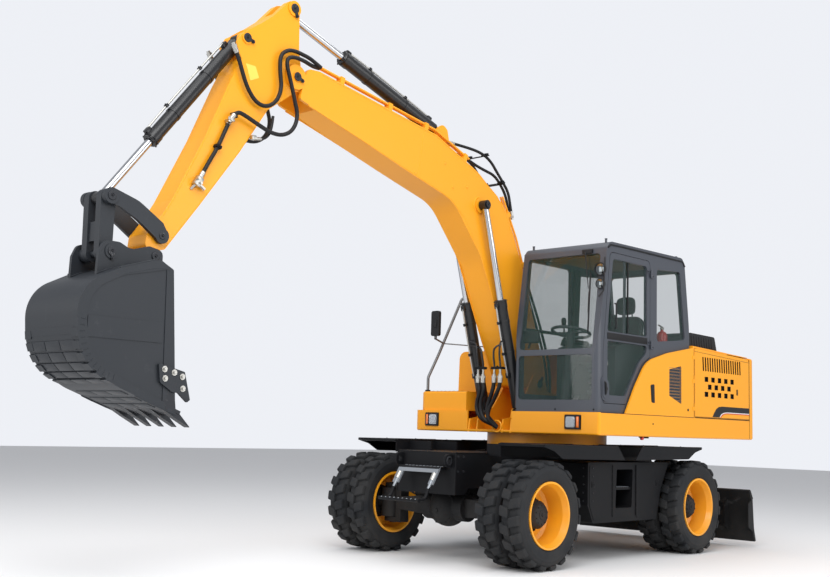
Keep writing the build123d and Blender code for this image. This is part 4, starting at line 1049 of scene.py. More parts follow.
for side in (1, -1):
    add_bead(seams, weld_boom, BOOM_Y + side * 157, 7)
    add_bead(seams, weld_top, BOOM_Y + side * 157, 7)
    add_bead(seams, [(600, 3700), (520, 4210)], BOOM_Y + side * 157, 6)
    for x, z in ((638, 3745), (204, 3927), (73, 3703), (-146, 3743)):
        add_lathe(seams, (x, BOOM_Y + side * 159, z), (0, side, 0), [(0, 17), (5, 15), (7, 9), (7, 0)], 20)
    x, z = BOOM_CYLINDER[1]
    add_lathe(seams, (x, BOOM_Y + side * 158, z), (0, side, 0), [(0, 96), (8, 92), (9, 84), (2, 80)], 40)
finished("boom_weld_beads", seams, machine_yellow, "boom")
seams = bmesh.new()
for side in (1, -1):
    y = BOOM_Y + side * 122
    add_bead(seams, [(2490, 3965), (2763, 3534), (3140, 3015), (3450, 2606)], y, 6)
    add_bead(seams, [(3480, 2861), (3397, 2996), (3113, 3571), (2890, 4093)], y, 6)
    x, z = ARM_PIVOT
    boss = [(0, 128), (6, 124), (7, 114), (2, 110)]
    add_lathe(seams, (x, BOOM_Y + side * 124, z), (0, side, 0), boss, 48)
finished("arm_weld_beads", seams, machine_yellow, "arm")
bm = bmesh.new()
blank = [(2745, 4300), (2640, 4300), (2596, 4208), (2690, 4160)]
add_plate(bm, side_view(BOOM_Y + 125.5, blank), (0, 1.5, 0), 8)
finished("arm_blank_plate", bm, pale_yellow, "arm")

# %% [markdown]
# ## Cylinders
# A ring of bolts holds the gland at a cylinder's mouth. A port block sits near each end of the
# tube, and two clamps hold the thin steel pipe between them.

# %% Glands, ports and pipes on the cylinders


def dress_cylinder(name, foot, eye, gland, radius, rod, y, body, up=1.0, start=150):
    way = Vector((eye[0] - foot[0], 0, eye[1] - foot[1])).normalized()
    out = (-way.z * up, 0, way.x * up)
    tilt = -math.degrees(math.atan2(eye[1] - foot[1], eye[0] - foot[0]))

    def spot(s, off=0):
        x, z = along(foot, eye, s, up * off)
        return x, y, z

    bm = bmesh.new()
    for i in range(8):
        turn = Matrix.Rotation(math.tau * i / 8, 3, way)
        place = Vector(spot(gland - 60)) + turn @ Vector((0, radius + 6, 0))
        add_bolt(bm, place + way * 56, way, 6.5, 9)
    for s in (start, gland - 40):
        add_block(bm, spot(s, radius + 12), (56, 48, 34), (0, tilt, 0), 4)
    wall = radius - 10.4
    bore = [(-45, wall), (-45, rod + 1.5), (10, rod + 1.5), (14, rod + 4)]
    rim = [(14, radius - 4), (9, radius + 1), (1, radius + 1), (1, wall), (-45, wall)]
    add_lathe(bm, spot(gland), way, bore + rim, 48)
    finished(name + "_ports", bm, cylinder_black, body)
    low, high = radius + 22, radius + 30
    course = [spot(start, low), spot(start + 60, high), spot(gland - 110, high), spot(gland - 50, low)]
    hose(name + "_pipe", course, 9, plated_steel, body)
    bm = bmesh.new()
    band = [(-14, radius - 3), (-14, radius + 4), (14, radius + 4), (14, radius - 3), (-14, radius - 3)]
    for share in (0.3, 0.72):
        s = start + (gland - start) * share
        add_lathe(bm, spot(s), way, band, 36)
        add_block(bm, spot(s, high), (30, 34, 26), (0, tilt, 0), 3)
        add_bolt(bm, spot(s, high + 12), out, 7, 8)
    finished(name + "_clamps", bm, cylinder_black, body)


dress_cylinder("arm_cylinder", *ARM_CYLINDER, 1400, 68, 36, BOOM_Y, "arm_tube")
dress_cylinder("bucket_cylinder", *BUCKET_CYLINDER, 1330, 60, 32, BOOM_Y, "bucket_tube")
for side, tag in SIDES:
    y = BOOM_Y + side * 230
    name = "boom_cylinder_" + tag
    dress_cylinder(name, *BOOM_CYLINDER, 1200, 60, 34, y, "boom_tubes", -1.0, 420)

# %% [markdown]
# ## Hoses in front of the boom's foot
# Each boom cylinder is fed through two short steel stubs in a clamp bar. From there four hoses drop
# in soft bends to the port in the deck's front plate.

# %% Stubs, clamp bars and the front bundle
stubs = bmesh.new()
bars = bmesh.new()
bundle = {
    "far_one": [
        (-219, 1800), (-219, 1745), (-188, 1659), (-262, 1520), (-208, 1386), (-130, 1330),
        (-62, 1316),
    ],
    "far_two": [
        (-151, 1800), (-150, 1745), (-134, 1680), (-205, 1533), (-175, 1407), (-100, 1345),
        (-50, 1306),
    ],
    "near_one": [(-1, 1800), (-2, 1740), (-25, 1659), (-98, 1533), (-116, 1420), (-70, 1330), (-36, 1300)],
    "near_two": [(78, 1800), (76, 1745), (62, 1690), (-20, 1575), (-96, 1465), (-90, 1345), (-30, 1290)],
}
FRONT_X = -668
span = ("boom_tubes", "upper", (FRONT_X, -70, 1740), (-720, -70, 1400))
for tag, line in bundle.items():
    points = [(FRONT_X if z > 1650 else -690 if z > 1340 else -770, y, z) for y, z in line]
    hose("front_hose_" + tag, points, 21, hose_rubber, between=span)
    y, z = line[0]
    add_ferrule(stubs, (FRONT_X, y, z), (FRONT_X, y, z - 60), 21)
    add_rod(stubs, (FRONT_X, y, z + 30), (FRONT_X, y, z + 95), 12, 16)
for middle, tube in ((-185, (-808, -333, 1912)), (38, (-791, 66, 1912))):
    add_block(bars, (FRONT_X, middle, 1908), (34, 150, 26), soften=5)
    add_bolt(bars, (FRONT_X, middle, 1921), (0, 0, 1), 9, 10)
    add_rod(bars, (FRONT_X, middle, 1908), tube, 12, 12)
finished("front_hose_fittings", stubs, plated_steel, "boom_tubes")
finished("front_clamp_bars", bars, frame_black, "boom_tubes")
for tag, y, bend, inner, top in (
    ("near_low", -1, 8, 78, 2150),
    ("near_high", 78, 8, 78, 2195),
    ("far_low", -151, -8, -378, 2150),
    ("far_high", -219, -8, -378, 2195),
):
    points = [
        (FRONT_X, y, 1895),
        (FRONT_X, y, 1950),
        (-648, y, 2020),
        (-640, y + bend, top - 40),
        (-684, (y + inner) / 2, top),
        (-716, inner, top + 10),
    ]
    hose("front_pipe_" + tag, points, 10, cylinder_black, "boom_tubes")

# %% [markdown]
# ## Cab glazing
# Each pane sits in a black rubber seal that grips both the glass and the sheet-metal edge. A seal
# follows the pane's outline, so it is drawn as a rounded frame.
# The door's two panes are parted by a black rail, and the rear side pane has a wide black border.

# %% Window seals on the cab
CAB_Y0, CAB_Y1 = 165, 1204
bm = bmesh.new()


def front_x(z):
    return -785 if z < 2040 else -785 - (z - 2060) * 0.1415


deep = 12
for z0, z1 in ((2095, 3065), (1585, 2035)):
    pane = rectangle(CAB_Y0 + 62, CAB_Y1 - 72, z0, z1)
    corners = [(front_x(z) - deep, y, z) for y, z in pane]
    add_frame(bm, corners, 17, (deep + 3, 0, 2), 40)
rear_side = [(-1885, 2240), (-1885, 3010), (-2365, 3040), (-2470, 2300)]
add_frame(bm, side_view(CAB_Y1 - 15, rear_side), 34, (0, 17, 0), 40)
rear_border = [(-1862, 2190), (-1862, 3040), (-2390, 3066), (-2502, 2262)]
add_frame(bm, side_view(CAB_Y1, rear_border), 46, (0, 3, 0), 44)
add_frame(bm, side_view(CAB_Y0 + 15, rear_side), 20, (0, -17, 0), 40)
right_window = [(-905, 1650), (-905, 2060), (-1015, 3060), (-1740, 3060), (-1740, 1650)]
add_frame(bm, side_view(CAB_Y0 + 15, right_window), 18, (0, -17, 0), 30)
add_block(bm, (-1325, CAB_Y0 + 8, 2330), (800, 12, 34), soften=3)
finished("window_seals", bm, seal_rubber, "upper")
bm = bmesh.new()
upper_pane = [(-950, 2275), (-1045, 3015), (-1690, 3015), (-1690, 2275)]
add_frame(bm, side_view(CAB_Y1 - 16, upper_pane), 16, (0, 18, 0), 30)
lower_pane = [
    (-955, 1640), (-955, 2180), (-1690, 2180), (-1675, 2100), (-1540, 2000), (-1390, 1790),
    (-1280, 1640),
]
add_frame(bm, side_view(CAB_Y1 - 16, lower_pane), 14, (0, 18, 0), 18)
add_block(bm, (-1320, CAB_Y1 + 1, 2228), (742, 10, 66), soften=4)
add_block(bm, (-1335, CAB_Y1 - 12, 2645), (18, 14, 730), soften=3)
finished("door_seals", bm, seal_rubber, "cab_door")

# %% [markdown]
# ## Cab fittings
# The wiper hangs from the top of the windscreen and parks upright.
# Its arm and blade are thin, so rods and blocks that follow the slope of the glass are enough.

# %% Wiper
bm = bmesh.new()
add_block(bm, (front_x(3095) + 12, 980, 3088), (34, 120, 46), (0, 8, 0), 6)
add_rod(bm, (front_x(3070) + 22, 960, 3080), (front_x(2700) + 18, 1035, 2700), 7, 10, 4)
add_block(bm, (front_x(2560) + 10, 1055, 2560), (12, 14, 620), (3, -8, 0), 3)
add_block(bm, (front_x(2560) + 15, 1054, 2560), (8, 20, 220), (3, -8, 0), 3)
finished("wiper", bm, plastic_black, "upper")

# %% [markdown]
# On the corner post sit a round convex mirror and a lamp.
# Their shells are turned from a profile, because a pressed shell has a rolled rim that a plain disc
# lacks.

# %% Mirror and lamp on the corner post
bm = bmesh.new()
add_rod(bm, (-812, 1190, 2604), (-849, 1222, 2670), 9, 12)
add_rod(bm, (-849, 1222, 2665), (-866, 1222, 2930), 8, 12)
add_rod(bm, (-866, 1222, 2925), (-900, 1200, 3010), 8, 12)
mirror_shell = [(-26, 0), (-26, 46), (-14, 62), (8, 68), (18, 66), (18, 60), (10, 58)]
lamp_shell = [(-34, 0), (-34, 30), (-20, 46), (12, 52), (18, 50), (18, 45)]
add_lathe(bm, (-870, 1170, 2890), (1, 0, 0), mirror_shell, 40)
add_lathe(bm, (-865, 1176, 2742), (1, 0, 0), lamp_shell, 32)
finished("corner_mirror_and_lamp_housings", bm, plastic_black, "upper")
bm = bmesh.new()
add_lathe(bm, (-861, 1170, 2890), (1, 0, 0), [(0, 58), (5, 40), (7, 20), (8, 0)], 40)
finished("corner_mirror_glass", bm, mirror_with_painted_dark_reflection, "upper")
# The lamp's lens takes the mirror's finish, so it shows the same painted dark reflection.
bm = bmesh.new()
add_lathe(bm, (-850, 1176, 2742), (1, 0, 0), [(0, 46), (5, 30), (7, 0)], 32)
finished("corner_lamp_lens", bm, mirror_with_painted_dark_reflection, "upper")

# %% [markdown]
# The roof has a rubber gutter, a hatch and four lifting pins.
# The gutter is a round strip along the roof's edge. The hatch is a plate in a raised frame, so its
# edge catches the light.

# %% Gutters, hatch and lifting pins
bm = bmesh.new()
gutter = [(-948, 3118), (-1000, 3150), (-1240, 3156), (-1780, 3158), (-2420, 3160), (-2462, 3110)]
for y in (CAB_Y0 - 3, CAB_Y1 + 3):
    for a, b in zip(gutter, gutter[1:]):
        add_rod(bm, (a[0], y, a[1]), (b[0], y, b[1]), 9, 10)
finished("roof_gutters", bm, seal_rubber, "upper")
bm = bmesh.new()
lid = [(-1150, 370, 3186), (-1150, 1000, 3186), (-1900, 1000, 3193), (-1900, 370, 3193)]
hatch_rim = [(-1120, 340, 3184), (-1120, 1030, 3184), (-1930, 1030, 3192), (-1930, 340, 3192)]
add_plate(bm, lid, (0, 0, 16), 60, 5)
add_frame(bm, hatch_rim, 16, (0, 0, 14), 70)
for y in (420, 950):
    add_block(bm, (-1160, y, 3200), (60, 40, 14), soften=3)
for x, y in ((-1010, 230), (-1010, 1140), (-2390, 230), (-2390, 1140)):
    add_rod(bm, (x, y, 3178), (x, y, 3216), 12, 16)
    add_lathe(bm, (x, y, 3214), (0, 0, 1), [(0, 12), (4, 16), (9, 12), (9, 0)], 16)
finished("roof_hatch_and_pins", bm, cab_grey, "upper")

# %% [markdown]
# The door has a grab handle, a pull and a lock. Its hinges and the cab's foot are bolted on.
# A handle could be a bent curve, but three short rods that overlap give the same look.

# %% Door handle, lock and hinges' bolts
bm = bmesh.new()
cover = [(-838, 1800), (-905, 1830), (-975, 1760), (-985, 1600), (-930, 1565), (-850, 1600)]
raised = [(-850, 1780), (-900, 1805), (-958, 1745), (-966, 1620), (-925, 1592), (-862, 1620)]
add_plate(bm, side_view(1203, cover), (0, 9, 0), 30, 5)
add_plate(bm, side_view(1210, raised), (0, 7, 0), 26, 5)
finished("door_handle_cover", bm, cab_grey, "cab_door")
bm = bmesh.new()
add_rod(bm, (-905, 1212, 1640), (-905, 1228, 1660), 9, 12)
add_rod(bm, (-905, 1226, 1655), (-896, 1228, 1755), 10, 14)
add_rod(bm, (-896, 1228, 1750), (-894, 1212, 1770), 9, 12)
add_lathe(bm, (-935, 1216, 1700), (0, 1, 0), [(0, 14), (4, 14), (6, 11), (6, 0)], 20)
add_rod(bm, (-1075, 1206, 2310), (-1075, 1228, 2316), 8, 12)
add_rod(bm, (-1075, 1227, 2312), (-1075, 1227, 2560), 9, 12)
add_rod(bm, (-1075, 1228, 2556), (-1075, 1206, 2562), 8, 12)
finished("door_handles", bm, plastic_black, "cab_door")
bm = bmesh.new()
for z in (2150, 2900):
    for k in (14, 44):
        add_bolt(bm, (-1750 + k, 1212, z + 63), (0, 1, 0), 5, 6)
finished("door_hinge_bolts", bm, frame_black, "cab_door")
bm = bmesh.new()
for z in (2150, 2900):
    for k in (-14, -44):
        add_bolt(bm, (-1750 + k, 1212, z + 20), (0, 1, 0), 5, 6)
for x, z in ((-2585, 2000), (-2585, 1700)):
    add_bolt(bm, (x + 10, 1203, z), (0, 1, 0), 6, 6)
for y in (200, 700, 1160):
    add_bolt(bm, (-785, y, 1490), (1, 0, 0), 7, 7)
finished("cab_bolts", bm, frame_black, "upper")

# %% [markdown]
# ## Inside the cab
# Through the tinted glass one sees the levers on the seat's consoles, the pedals and a small
# display on the front post.
# They are seen only through the glass, so simple turned and softened shapes are enough.

# %% Levers, pedals, boxes and display
boot = [(0, 42), (8, 44), (20, 38), (30, 40), (44, 30), (56, 32), (70, 20), (84, 12)]
grip = [(0, 13), (16, 22), (50, 25), (86, 27), (104, 22), (112, 10), (113, 0)]
button = [(0, 9), (6, 9), (8, 7), (8, 0)]
knob = [(0, 9), (10, 16), (34, 18), (48, 10), (50, 0)]
bm = bmesh.new()
for side in (1, -1):
    y = CAB_MID + side * 320
    add_lathe(bm, (-1400, y, 2186), (0, 0, 1), boot, 28)
    add_rod(bm, (-1400, y, 2260), (-1388, y, 2380), 9, 14)
    add_lathe(bm, (-1388, y, 2375), (0.05, 0, 1), grip, 24)
    add_block(bm, (-1660, y, 2236), (300, 84, 52), soften=16)
    for k in range(3):
        add_lathe(bm, (-1500 - k * 34, y + side * 14, 2204), (0, 0, 1), button, 12)
    add_block(bm, (-1040, CAB_MID + side * 70, 1590), (170, 74, 16), (0, 38, 0), 5)
    stick_y = CAB_MID + side * 48
    add_rod(bm, (-1020, stick_y, 1600), (-1080, stick_y, 1900), 9, 12)
    add_lathe(bm, (-1080, stick_y, 1895), (-0.2, 0, 1), knob, 16)
add_block(bm, (-900, 300, 2240), (46, 170, 130), (0, -10, 20), 10)
add_rod(bm, (-880, 280, 2120), (-895, 300, 2200), 12, 12)
add_block(bm, (-2330, 500, 1900), (200, 420, 560), soften=24)
add_block(bm, (-2210, 930, 1720), (240, 300, 400), soften=24)
finished("levers_pedals_and_boxes", bm, plastic_black, "upper")
bm = bmesh.new()
add_block(bm, (-926, 310, 2240), (4, 140, 96), (0, -10, 20), 1)
finished("display_screen", bm, cab_glass_tint, "upper")

# %% [markdown]
# The roof's lining carries a visor, and the floor, the rear wall and the door posts are lined too.
# Bare sheet metal would show through the panes, so thin plates with a dull finish cover it.

# %% Headliner, visor and linings
bm = bmesh.new()
headliner = [(-1030, 240, 3092), (-1030, 1130, 3092), (-2380, 1130, 3104), (-2380, 240, 3104)]
add_plate(bm, headliner, (0, 0, 14), 50, 4)
add_block(bm, (-1120, CAB_MID, 3078), (150, 700, 26), (0, 4, 0), 8)
finished("headliner_and_visor", bm, visor_brown, "upper")
bm = bmesh.new()
floor_mat = [(-860, 230, 1507), (-860, 1140, 1507), (-2480, 1140, 1507), (-2480, 230, 1507)]
add_plate(bm, floor_mat, (0, 0, 7), 40, 4)
add_plate(bm, front_view(-2512, rectangle(240, 1130, 1560, 2250)), (10, 0, 0), 40, 4)
add_block(bm, (-1815, 1150, 2640), (120, 26, 860), (0, -3, 0), 10)
add_block(bm, (-1815, 219, 2640), (120, 26, 860), (0, -3, 0), 10)
finished("cab_linings", bm, lining_grey, "upper")

# %% [markdown]
# A red fire extinguisher stands behind the seat, and the safety lever beside the seat has a red grip.
# Both are round, so each is one turned profile.

# %% Fire extinguisher and safety lever
bm = bmesh.new()
bottle = [(0, 0), (0, 52), (10, 58), (330, 58), (362, 44), (378, 18), (392, 16), (392, 0)]
add_lathe(bm, (-2250, 1050, 2010), (0, 0, 1), bottle, 36)
finished("fire_extinguisher", bm, signal_red, "upper")
bm = bmesh.new()
add_lathe(bm, (-2250, 1050, 2400), (0, 0, 1), [(0, 16), (14, 20), (26, 20), (30, 8), (30, 0)], 20)
add_block(bm, (-2230, 1050, 2436), (110, 18, 12), (0, -14, 0), 4)
add_rod(bm, (-1290, CAB_MID + 300, 1960), (-1240, CAB_MID + 300, 2130), 8, 12)
finished("extinguisher_valve_and_lock_rod", bm, plated_steel, "upper")
bm = bmesh.new()
lever_grip = [(0, 8), (8, 17), (70, 19), (92, 14), (98, 0)]
add_lathe(bm, (-1240, CAB_MID + 300, 2125), (0.25, 0, 1), lever_grip, 20)
finished("safety_lever_grip", bm, signal_red, "upper")

# %% [markdown]
# ## The seat's hard parts and headrest
# The cushions clip into a moulded pan and shell. A bellows hides the suspension, which stands on a
# floor plate with slides.

# %% Headrest, shell and suspension
rest_rows = [
    (-2122, 2562, 50, 4, 0.9), (-2128, 2610, 66, 6, 1.0), (-2132, 2700, 66, 4, 1.0),
    (-2130, 2770, 44, 2, 0.84),
]
cushion("seat_headrest_cushion", rest_rows, 122, 0.2)
bm = bmesh.new()
foot, head = (-2052, 224, 2020), (-2150, 196, 2530)
turns = ((foot, -1), (foot, 1), (head, 1), (head, -1))
shell = [(x, CAB_MID + way * half, z) for (x, half, z), way in turns]
add_plate(bm, shell, (-12, 0, -2), 60, 5)
add_block(bm, (-1735, CAB_MID, 1990), (440, 440, 18), soften=7)
add_block(bm, (-1760, CAB_MID, 1528), (390, 320, 34), soften=6)
add_block(bm, (-1760, CAB_MID, 1966), (390, 320, 30), soften=6)
for i in range(7):
    wide = 0 if i % 2 else 34
    add_block(bm, (-1760, CAB_MID, 1574 + i * 60), (330 + wide, 270 + wide, 56), soften=18)
for side in (1, -1):
    add_rod(bm, (-2136, CAB_MID + side * 60, 2520), (-2136, CAB_MID + side * 60, 2580), 7, 12)
    add_rod(bm, (-1560, CAB_MID + side * 150, 1516), (-1960, CAB_MID + side * 150, 1516), 9, 8)
finished("seat_shell_and_suspension", bm, plastic_black, "upper")

# %% [markdown]
# ## Headlamps and the port in the front plate
# Each headlamp is a black housing in a pocket of the front plate, with a clear lens and an amber
# turn lens on its outer side. The hoses enter the deck through a round collar.

# %% Headlamp bezels, lenses and the hose collar
bezels, lenses, ambers = bmesh.new(), bmesh.new(), bmesh.new()
for side, middle in ((1, 920), (-1, -960)):
    add_frame(bezels, front_view(-772, rectangle(middle - 95, middle + 95, 1294, 1436)), 13, (13, 0, 0), 14)
    add_block(bezels, (-768, middle + side * 42, 1365), (8, 8, 112), soften=2)
    centre = middle - side * 22
    add_plate(lenses, front_view(-769, rectangle(centre - 54, centre + 54, 1312, 1418)), (6, 0, 0), 16, 4)
    add_plate(lenses, front_view(-764, rectangle(centre - 44, centre + 44, 1322, 1408)), (4, 0, 0), 20, 4)
    add_block(ambers, (-766, middle + side * 64, 1365), (10, 30, 108), soften=4)
    for z in (1304, 1426):
        add_bolt(bezels, (-760, middle + side * 42, z), (1, 0, 0), 3.2, 3)
finished("headlamp_bezels", bezels, plastic_black, "upper")
finished("headlamp_lenses", lenses, lamp_lens, "upper")
finished("turn_lamp_lenses", ambers, amber_lens, "upper")
bm = bmesh.new()
collar = [(0, 47), (0, 66), (8, 66), (11, 62), (11, 52), (4, 47), (0, 47)]
add_lathe(bm, (-782, -40, 1305), (1, 0, 0), collar, 40)
for spot in ring_spots((-774, -40, 1305), "x", 57, 6):
    add_bolt(bm, spot, (1, 0, 0), 3.5, 5)
finished("hose_collar", bm, machine_yellow, "upper")

# %% [markdown]
# ## Side stripes
# The tail carries a black band that sweeps up from the lower edge, with thin white and red lines
# below it. They are cut film, so each is a very thin sheet on the door's skin.

# %% Stripes on both engine doors
SKIN_Y = 1235
sweep = [(-3188, 1482), (-3206, 1502), (-3236, 1522), (-3290, 1537), (-3360, 1543), (-3904, 1543)]


def lowered(line, drop, push):
    return [(x - push * (1 - i / 5), z - (drop if i else 0)) for i, (x, z) in enumerate(line)]


white_edge = lowered(sweep, 9, 12)
red_edge = lowered(sweep, 19, 26)
black_top = [(-3904, 1606), (-3250, 1606), (-3170, 1598), (-3110, 1572), (-3060, 1526), (-3024, 1482)]
films = (
    ("black", sweep + black_top, stripe_black),
    ("white", sweep + white_edge[::-1], stripe_white),
    ("red", white_edge + red_edge[::-1], stripe_red),
)
for side, tag in SIDES:
    for colour, points, film in films:
        bm = bmesh.new()
        add_plate(bm, side_view(side * (SKIN_Y + 0.2), points), (0, side, 0))
        finished("%s_stripe_%s" % (colour, tag), bm, film, "engine_door_" + tag)

# %% [markdown]
# ## Doors and panels of the engine bay
# A black sheet behind the door is painted shade for the dark engine bay, so the slots and square
# holes look black. Paddle latches sit in shallow cups.
# The slots are open in the door itself, so one dark plate behind them does what paint could not.

# %% Painted-shade sheet, latches and edge seals of both doors
for side, tag in SIDES:
    door = "engine_door_" + tag
    bm = bmesh.new()
    # a black sheet behind the slots, as painted shade for the dark engine bay
    foam_and_shade_sheet = [(-2660, 1500), (-2660, 2160), (-3860, 2140), (-3860, 1500)]
    add_plate(bm, side_view(side * (SKIN_Y - 22), foam_and_shade_sheet), (0, -side * 5, 0), 40, 4)
    finished(door + "_painted_shade_sheet", bm, seal_rubber, door)
    bm = bmesh.new()
    cup = rectangle(-3582, -3636, 1740, 1836)
    add_frame(bm, side_view(side * SKIN_Y, cup), 9, (0, side * 4, 0), 12)
    add_block(bm, (-3609, side * (SKIN_Y + 2), 1780), (30, 5, 66), soften=2)
    add_lathe(bm, (-3609, side * (SKIN_Y + 3), 1806), (0, side, 0), [(0, 8), (3, 8), (4, 5), (4, 0)], 16)
    finished(door + "_latch", bm, plastic_black, door)
    bm = bmesh.new()
    lap = [(-2632, 1476), (-2632, 2190), (-3906, 2142), (-3906, 1476)]
    for a, b in zip(lap, lap[1:] + lap[:1]):
        add_rod(bm, (a[0], side * (SKIN_Y - 1), a[1]), (b[0], side * (SKIN_Y - 1), b[1]), 2.4, 8)
    finished(door + "_edge_seal", bm, seal_rubber, door)

# %% [markdown]
# Dark seams show where the panels meet, and a wire mesh guards the radiator's opening.
# A seam could be cut into the panels, but a thin dark rod along the joint looks the same. The wires
# are modelled, because a pattern would blur close up.

# %% Panel seams and wire mesh
bm = bmesh.new()
backing = [(-2080, 1600), (-2080, 2000), (-2350, 2010), (-2350, 1590)]
add_plate(bm, side_view(SKIN_Y - 23, backing), (0, -6, 0), 10)
seam_lines = (
    (-800, 1463, -2610, 1463),
    (-2614, 1470, -2614, 2215),
    (-3914, 1250, -3914, 2180),
    (-2640, 1463, -3912, 1463),
)
for x0, z0, x1, z1 in seam_lines:
    for side in (1, -1):
        if side > 0 or x0 < -2600:
            add_rod(bm, (x0, side * (SKIN_Y - 1), z0), (x1, side * (SKIN_Y - 1), z1), 3.2, 8)
finished("panel_seams", bm, seal_rubber, "upper")


def vent_low(x):
    return 1680 + (-2090 - x) / 250 * -80


bm = bmesh.new()
opening = [(-2082, 1672), (-2082, 1972), (-2348, 2022), (-2348, 1590)]
add_frame(bm, side_view(SKIN_Y - 2, opening), 13, (0, 5, 0), 12)
for i in range(15):
    x = -2100 - i * 17
    add_rod(bm, (x, SKIN_Y - 4, vent_low(x)), (x, SKIN_Y - 4, 1962 + (-2090 - x) * 0.2), 2.2, 6)
for i in range(24):
    z = 1612 + i * 16
    far = -2090 if z > 1680 else -2340 + (z - 1600) / 80 * 250
    if far > -2335:
        add_rod(bm, (min(far, -2090), SKIN_Y - 1, z), (-2342, SKIN_Y - 1, z), 2.2, 6)
finished("vent_mesh", bm, mesh_blue, "upper")

# %% [markdown]
# The side panel has a recessed handle and two locks. Below it sits a red marker lamp on a bracket.
# The panel is left whole, so two plates of different height stand for the recess.

# %% Handle, locks and marker lamp
bm = bmesh.new()
handle_plate = [(-1712, 1778), (-1786, 1786), (-1796, 1590), (-1732, 1596)]
handle_cup = [(-1722, 1768), (-1776, 1774), (-1784, 1600), (-1740, 1606)]
add_plate(bm, side_view(SKIN_Y, handle_plate), (0, 3, 0), 14)
add_plate(bm, side_view(SKIN_Y + 2, handle_cup), (0, 3, 0), 10)
add_block(bm, (-1756, SKIN_Y + 5, 1690), (16, 5, 110), soften=2)
add_lathe(bm, (-2482, SKIN_Y, 1542), (0, 1, 0), [(0, 14), (4, 14), (5, 10), (2, 8), (2, 0)], 20)
add_lathe(bm, (-1764, SKIN_Y, 1374), (0, 1, 0), [(0, 9), (3, 9), (4, 6), (4, 0)], 16)
finished("side_panel_handle_and_lock", bm, plastic_black, "upper")
bm = bmesh.new()
add_lathe(bm, (-1623, 1196, 1226), (0, 1, 0), [(-18, 20), (4, 20), (9, 16), (11, 8), (11, 0)], 24)
finished("deck_marker_lamp", bm, signal_red, "upper")
bm = bmesh.new()
add_block(bm, (-1623, 1185, 1236), (60, 34, 12), soften=3)
add_block(bm, (-1700, 1185, 1232), (70, 40, 16), soften=4)
finished("deck_marker_bracket", bm, frame_black, "upper")

# %% [markdown]
# ## Intake box, hood and tail
# Air comes in through slats on the box behind the cab, and the hood is lifted by two handles.
# The box is closed, so the slats are tilted blocks whose shadows look like openings.

# %% Slats and hood handles
bm = bmesh.new()
for i in range(9):
    x = -2780 - i * 56
    add_block(bm, (x, 1121, 2318), (34, 8, 124 - i * 2), (0, 9, 0), 3)
    add_block(bm, (x, 499, 2318), (34, 8, 124 - i * 2), (0, 9, 0), 3)
for i in range(5):
    add_block(bm, (-2830 - i * 95, 810, 2410 - i * 1.6), (60, 560, 9), soften=4)
for x in (-2735, -3310):
    for y in (540, 1080):
        add_bolt(bm, (x, y, 2232), (0, 0, 1), 7, 8)
finished("intake_slats", bm, plastic_black, "upper")
bm = bmesh.new()
for y in (-520, 520):
    add_rod(bm, (-3800, y - 70, 2168), (-3800, y - 70, 2204), 9, 12)
    add_rod(bm, (-3800, y + 70, 2168), (-3800, y + 70, 2204), 9, 12)
    add_rod(bm, (-3800, y - 72, 2202), (-3800, y + 72, 2202), 10, 14)
finished("hood_handles", bm, plastic_black, "hood_lid")

# %% [markdown]
# The counterweight has two lifting eyes, a group of lamps at each corner and a slatted grille
# between them.
# Each lamp group is three softened blocks, because housing and lenses have their own finishes.

# %% Lifting eyes, tail lamps and grille
bm = bmesh.new()
for y in (-700, 700):
    add_lathe(bm, (-3985, y, 2196), (0, 0, 1), [(-4, 62), (5, 62), (9, 56), (9, 34), (0, 28), (0, 0)], 32)
    add_rod(bm, (-4012, y, 2204), (-3958, y, 2204), 9, 12)
finished("lifting_eyes", bm, machine_yellow, "upper")
lens_set, shell_set, reverse_set = bmesh.new(), bmesh.new(), bmesh.new()
for side in (1, -1):
    add_block(shell_set, (-4072, side * 1010, 1400), (22, 230, 104), (0, 0, side * 6), 8)
    add_block(lens_set, (-4084, side * 1050, 1400), (10, 104, 84), (0, 0, side * 6), 6)
    add_block(reverse_set, (-4088, side * 958, 1400), (10, 60, 84), (0, 0, side * 6), 6)
finished("tail_lamp_housings", shell_set, plastic_black, "upper")
finished("tail_lamp_lenses", lens_set, signal_red, "upper")
finished("tail_turn_lenses", reverse_set, amber_lens, "upper")
bm = bmesh.new()
for i in range(9):
    add_block(bm, (-4112, 0, 1560 + i * 56), (8, 700, 22), (0, -18, 0), 3)
finished("tail_grille", bm, plastic_black, "upper")

# %% [markdown]
# ## Right-hand deck
# The step box and the tank are walked on, so strips of raised studs keep boots from slipping.
# Bump in the material would be lighter, but modelled studs keep their outline at the edge. They
# have few sides, because there are many.

# %% Treads
bm = bmesh.new()
for x in (-880, -990, -1100, -1210, -1320, -1430):
    add_block(bm, (x, -860, 1674), (64, 560, 6), soften=2)
    for k in range(9):
        add_lathe(bm, (x, -1100 + k * 60, 1677), (0, 0, 1), [(0, 9), (3, 7), (3, 0)], 10)
for x in (-1600, -2000, -2150):
    add_block(bm, (x, -760, 2167), (60, 380, 6), soften=2)
finished("deck_treads", bm, frame_black, "upper")

# %% [markdown]
# The fuel filler has a capped neck with a hasp. The mirror is a dished shell with a rim, and a thin
# stay steadies the handrail.
# The cap's grip is a ring of small blocks, one for each rib.

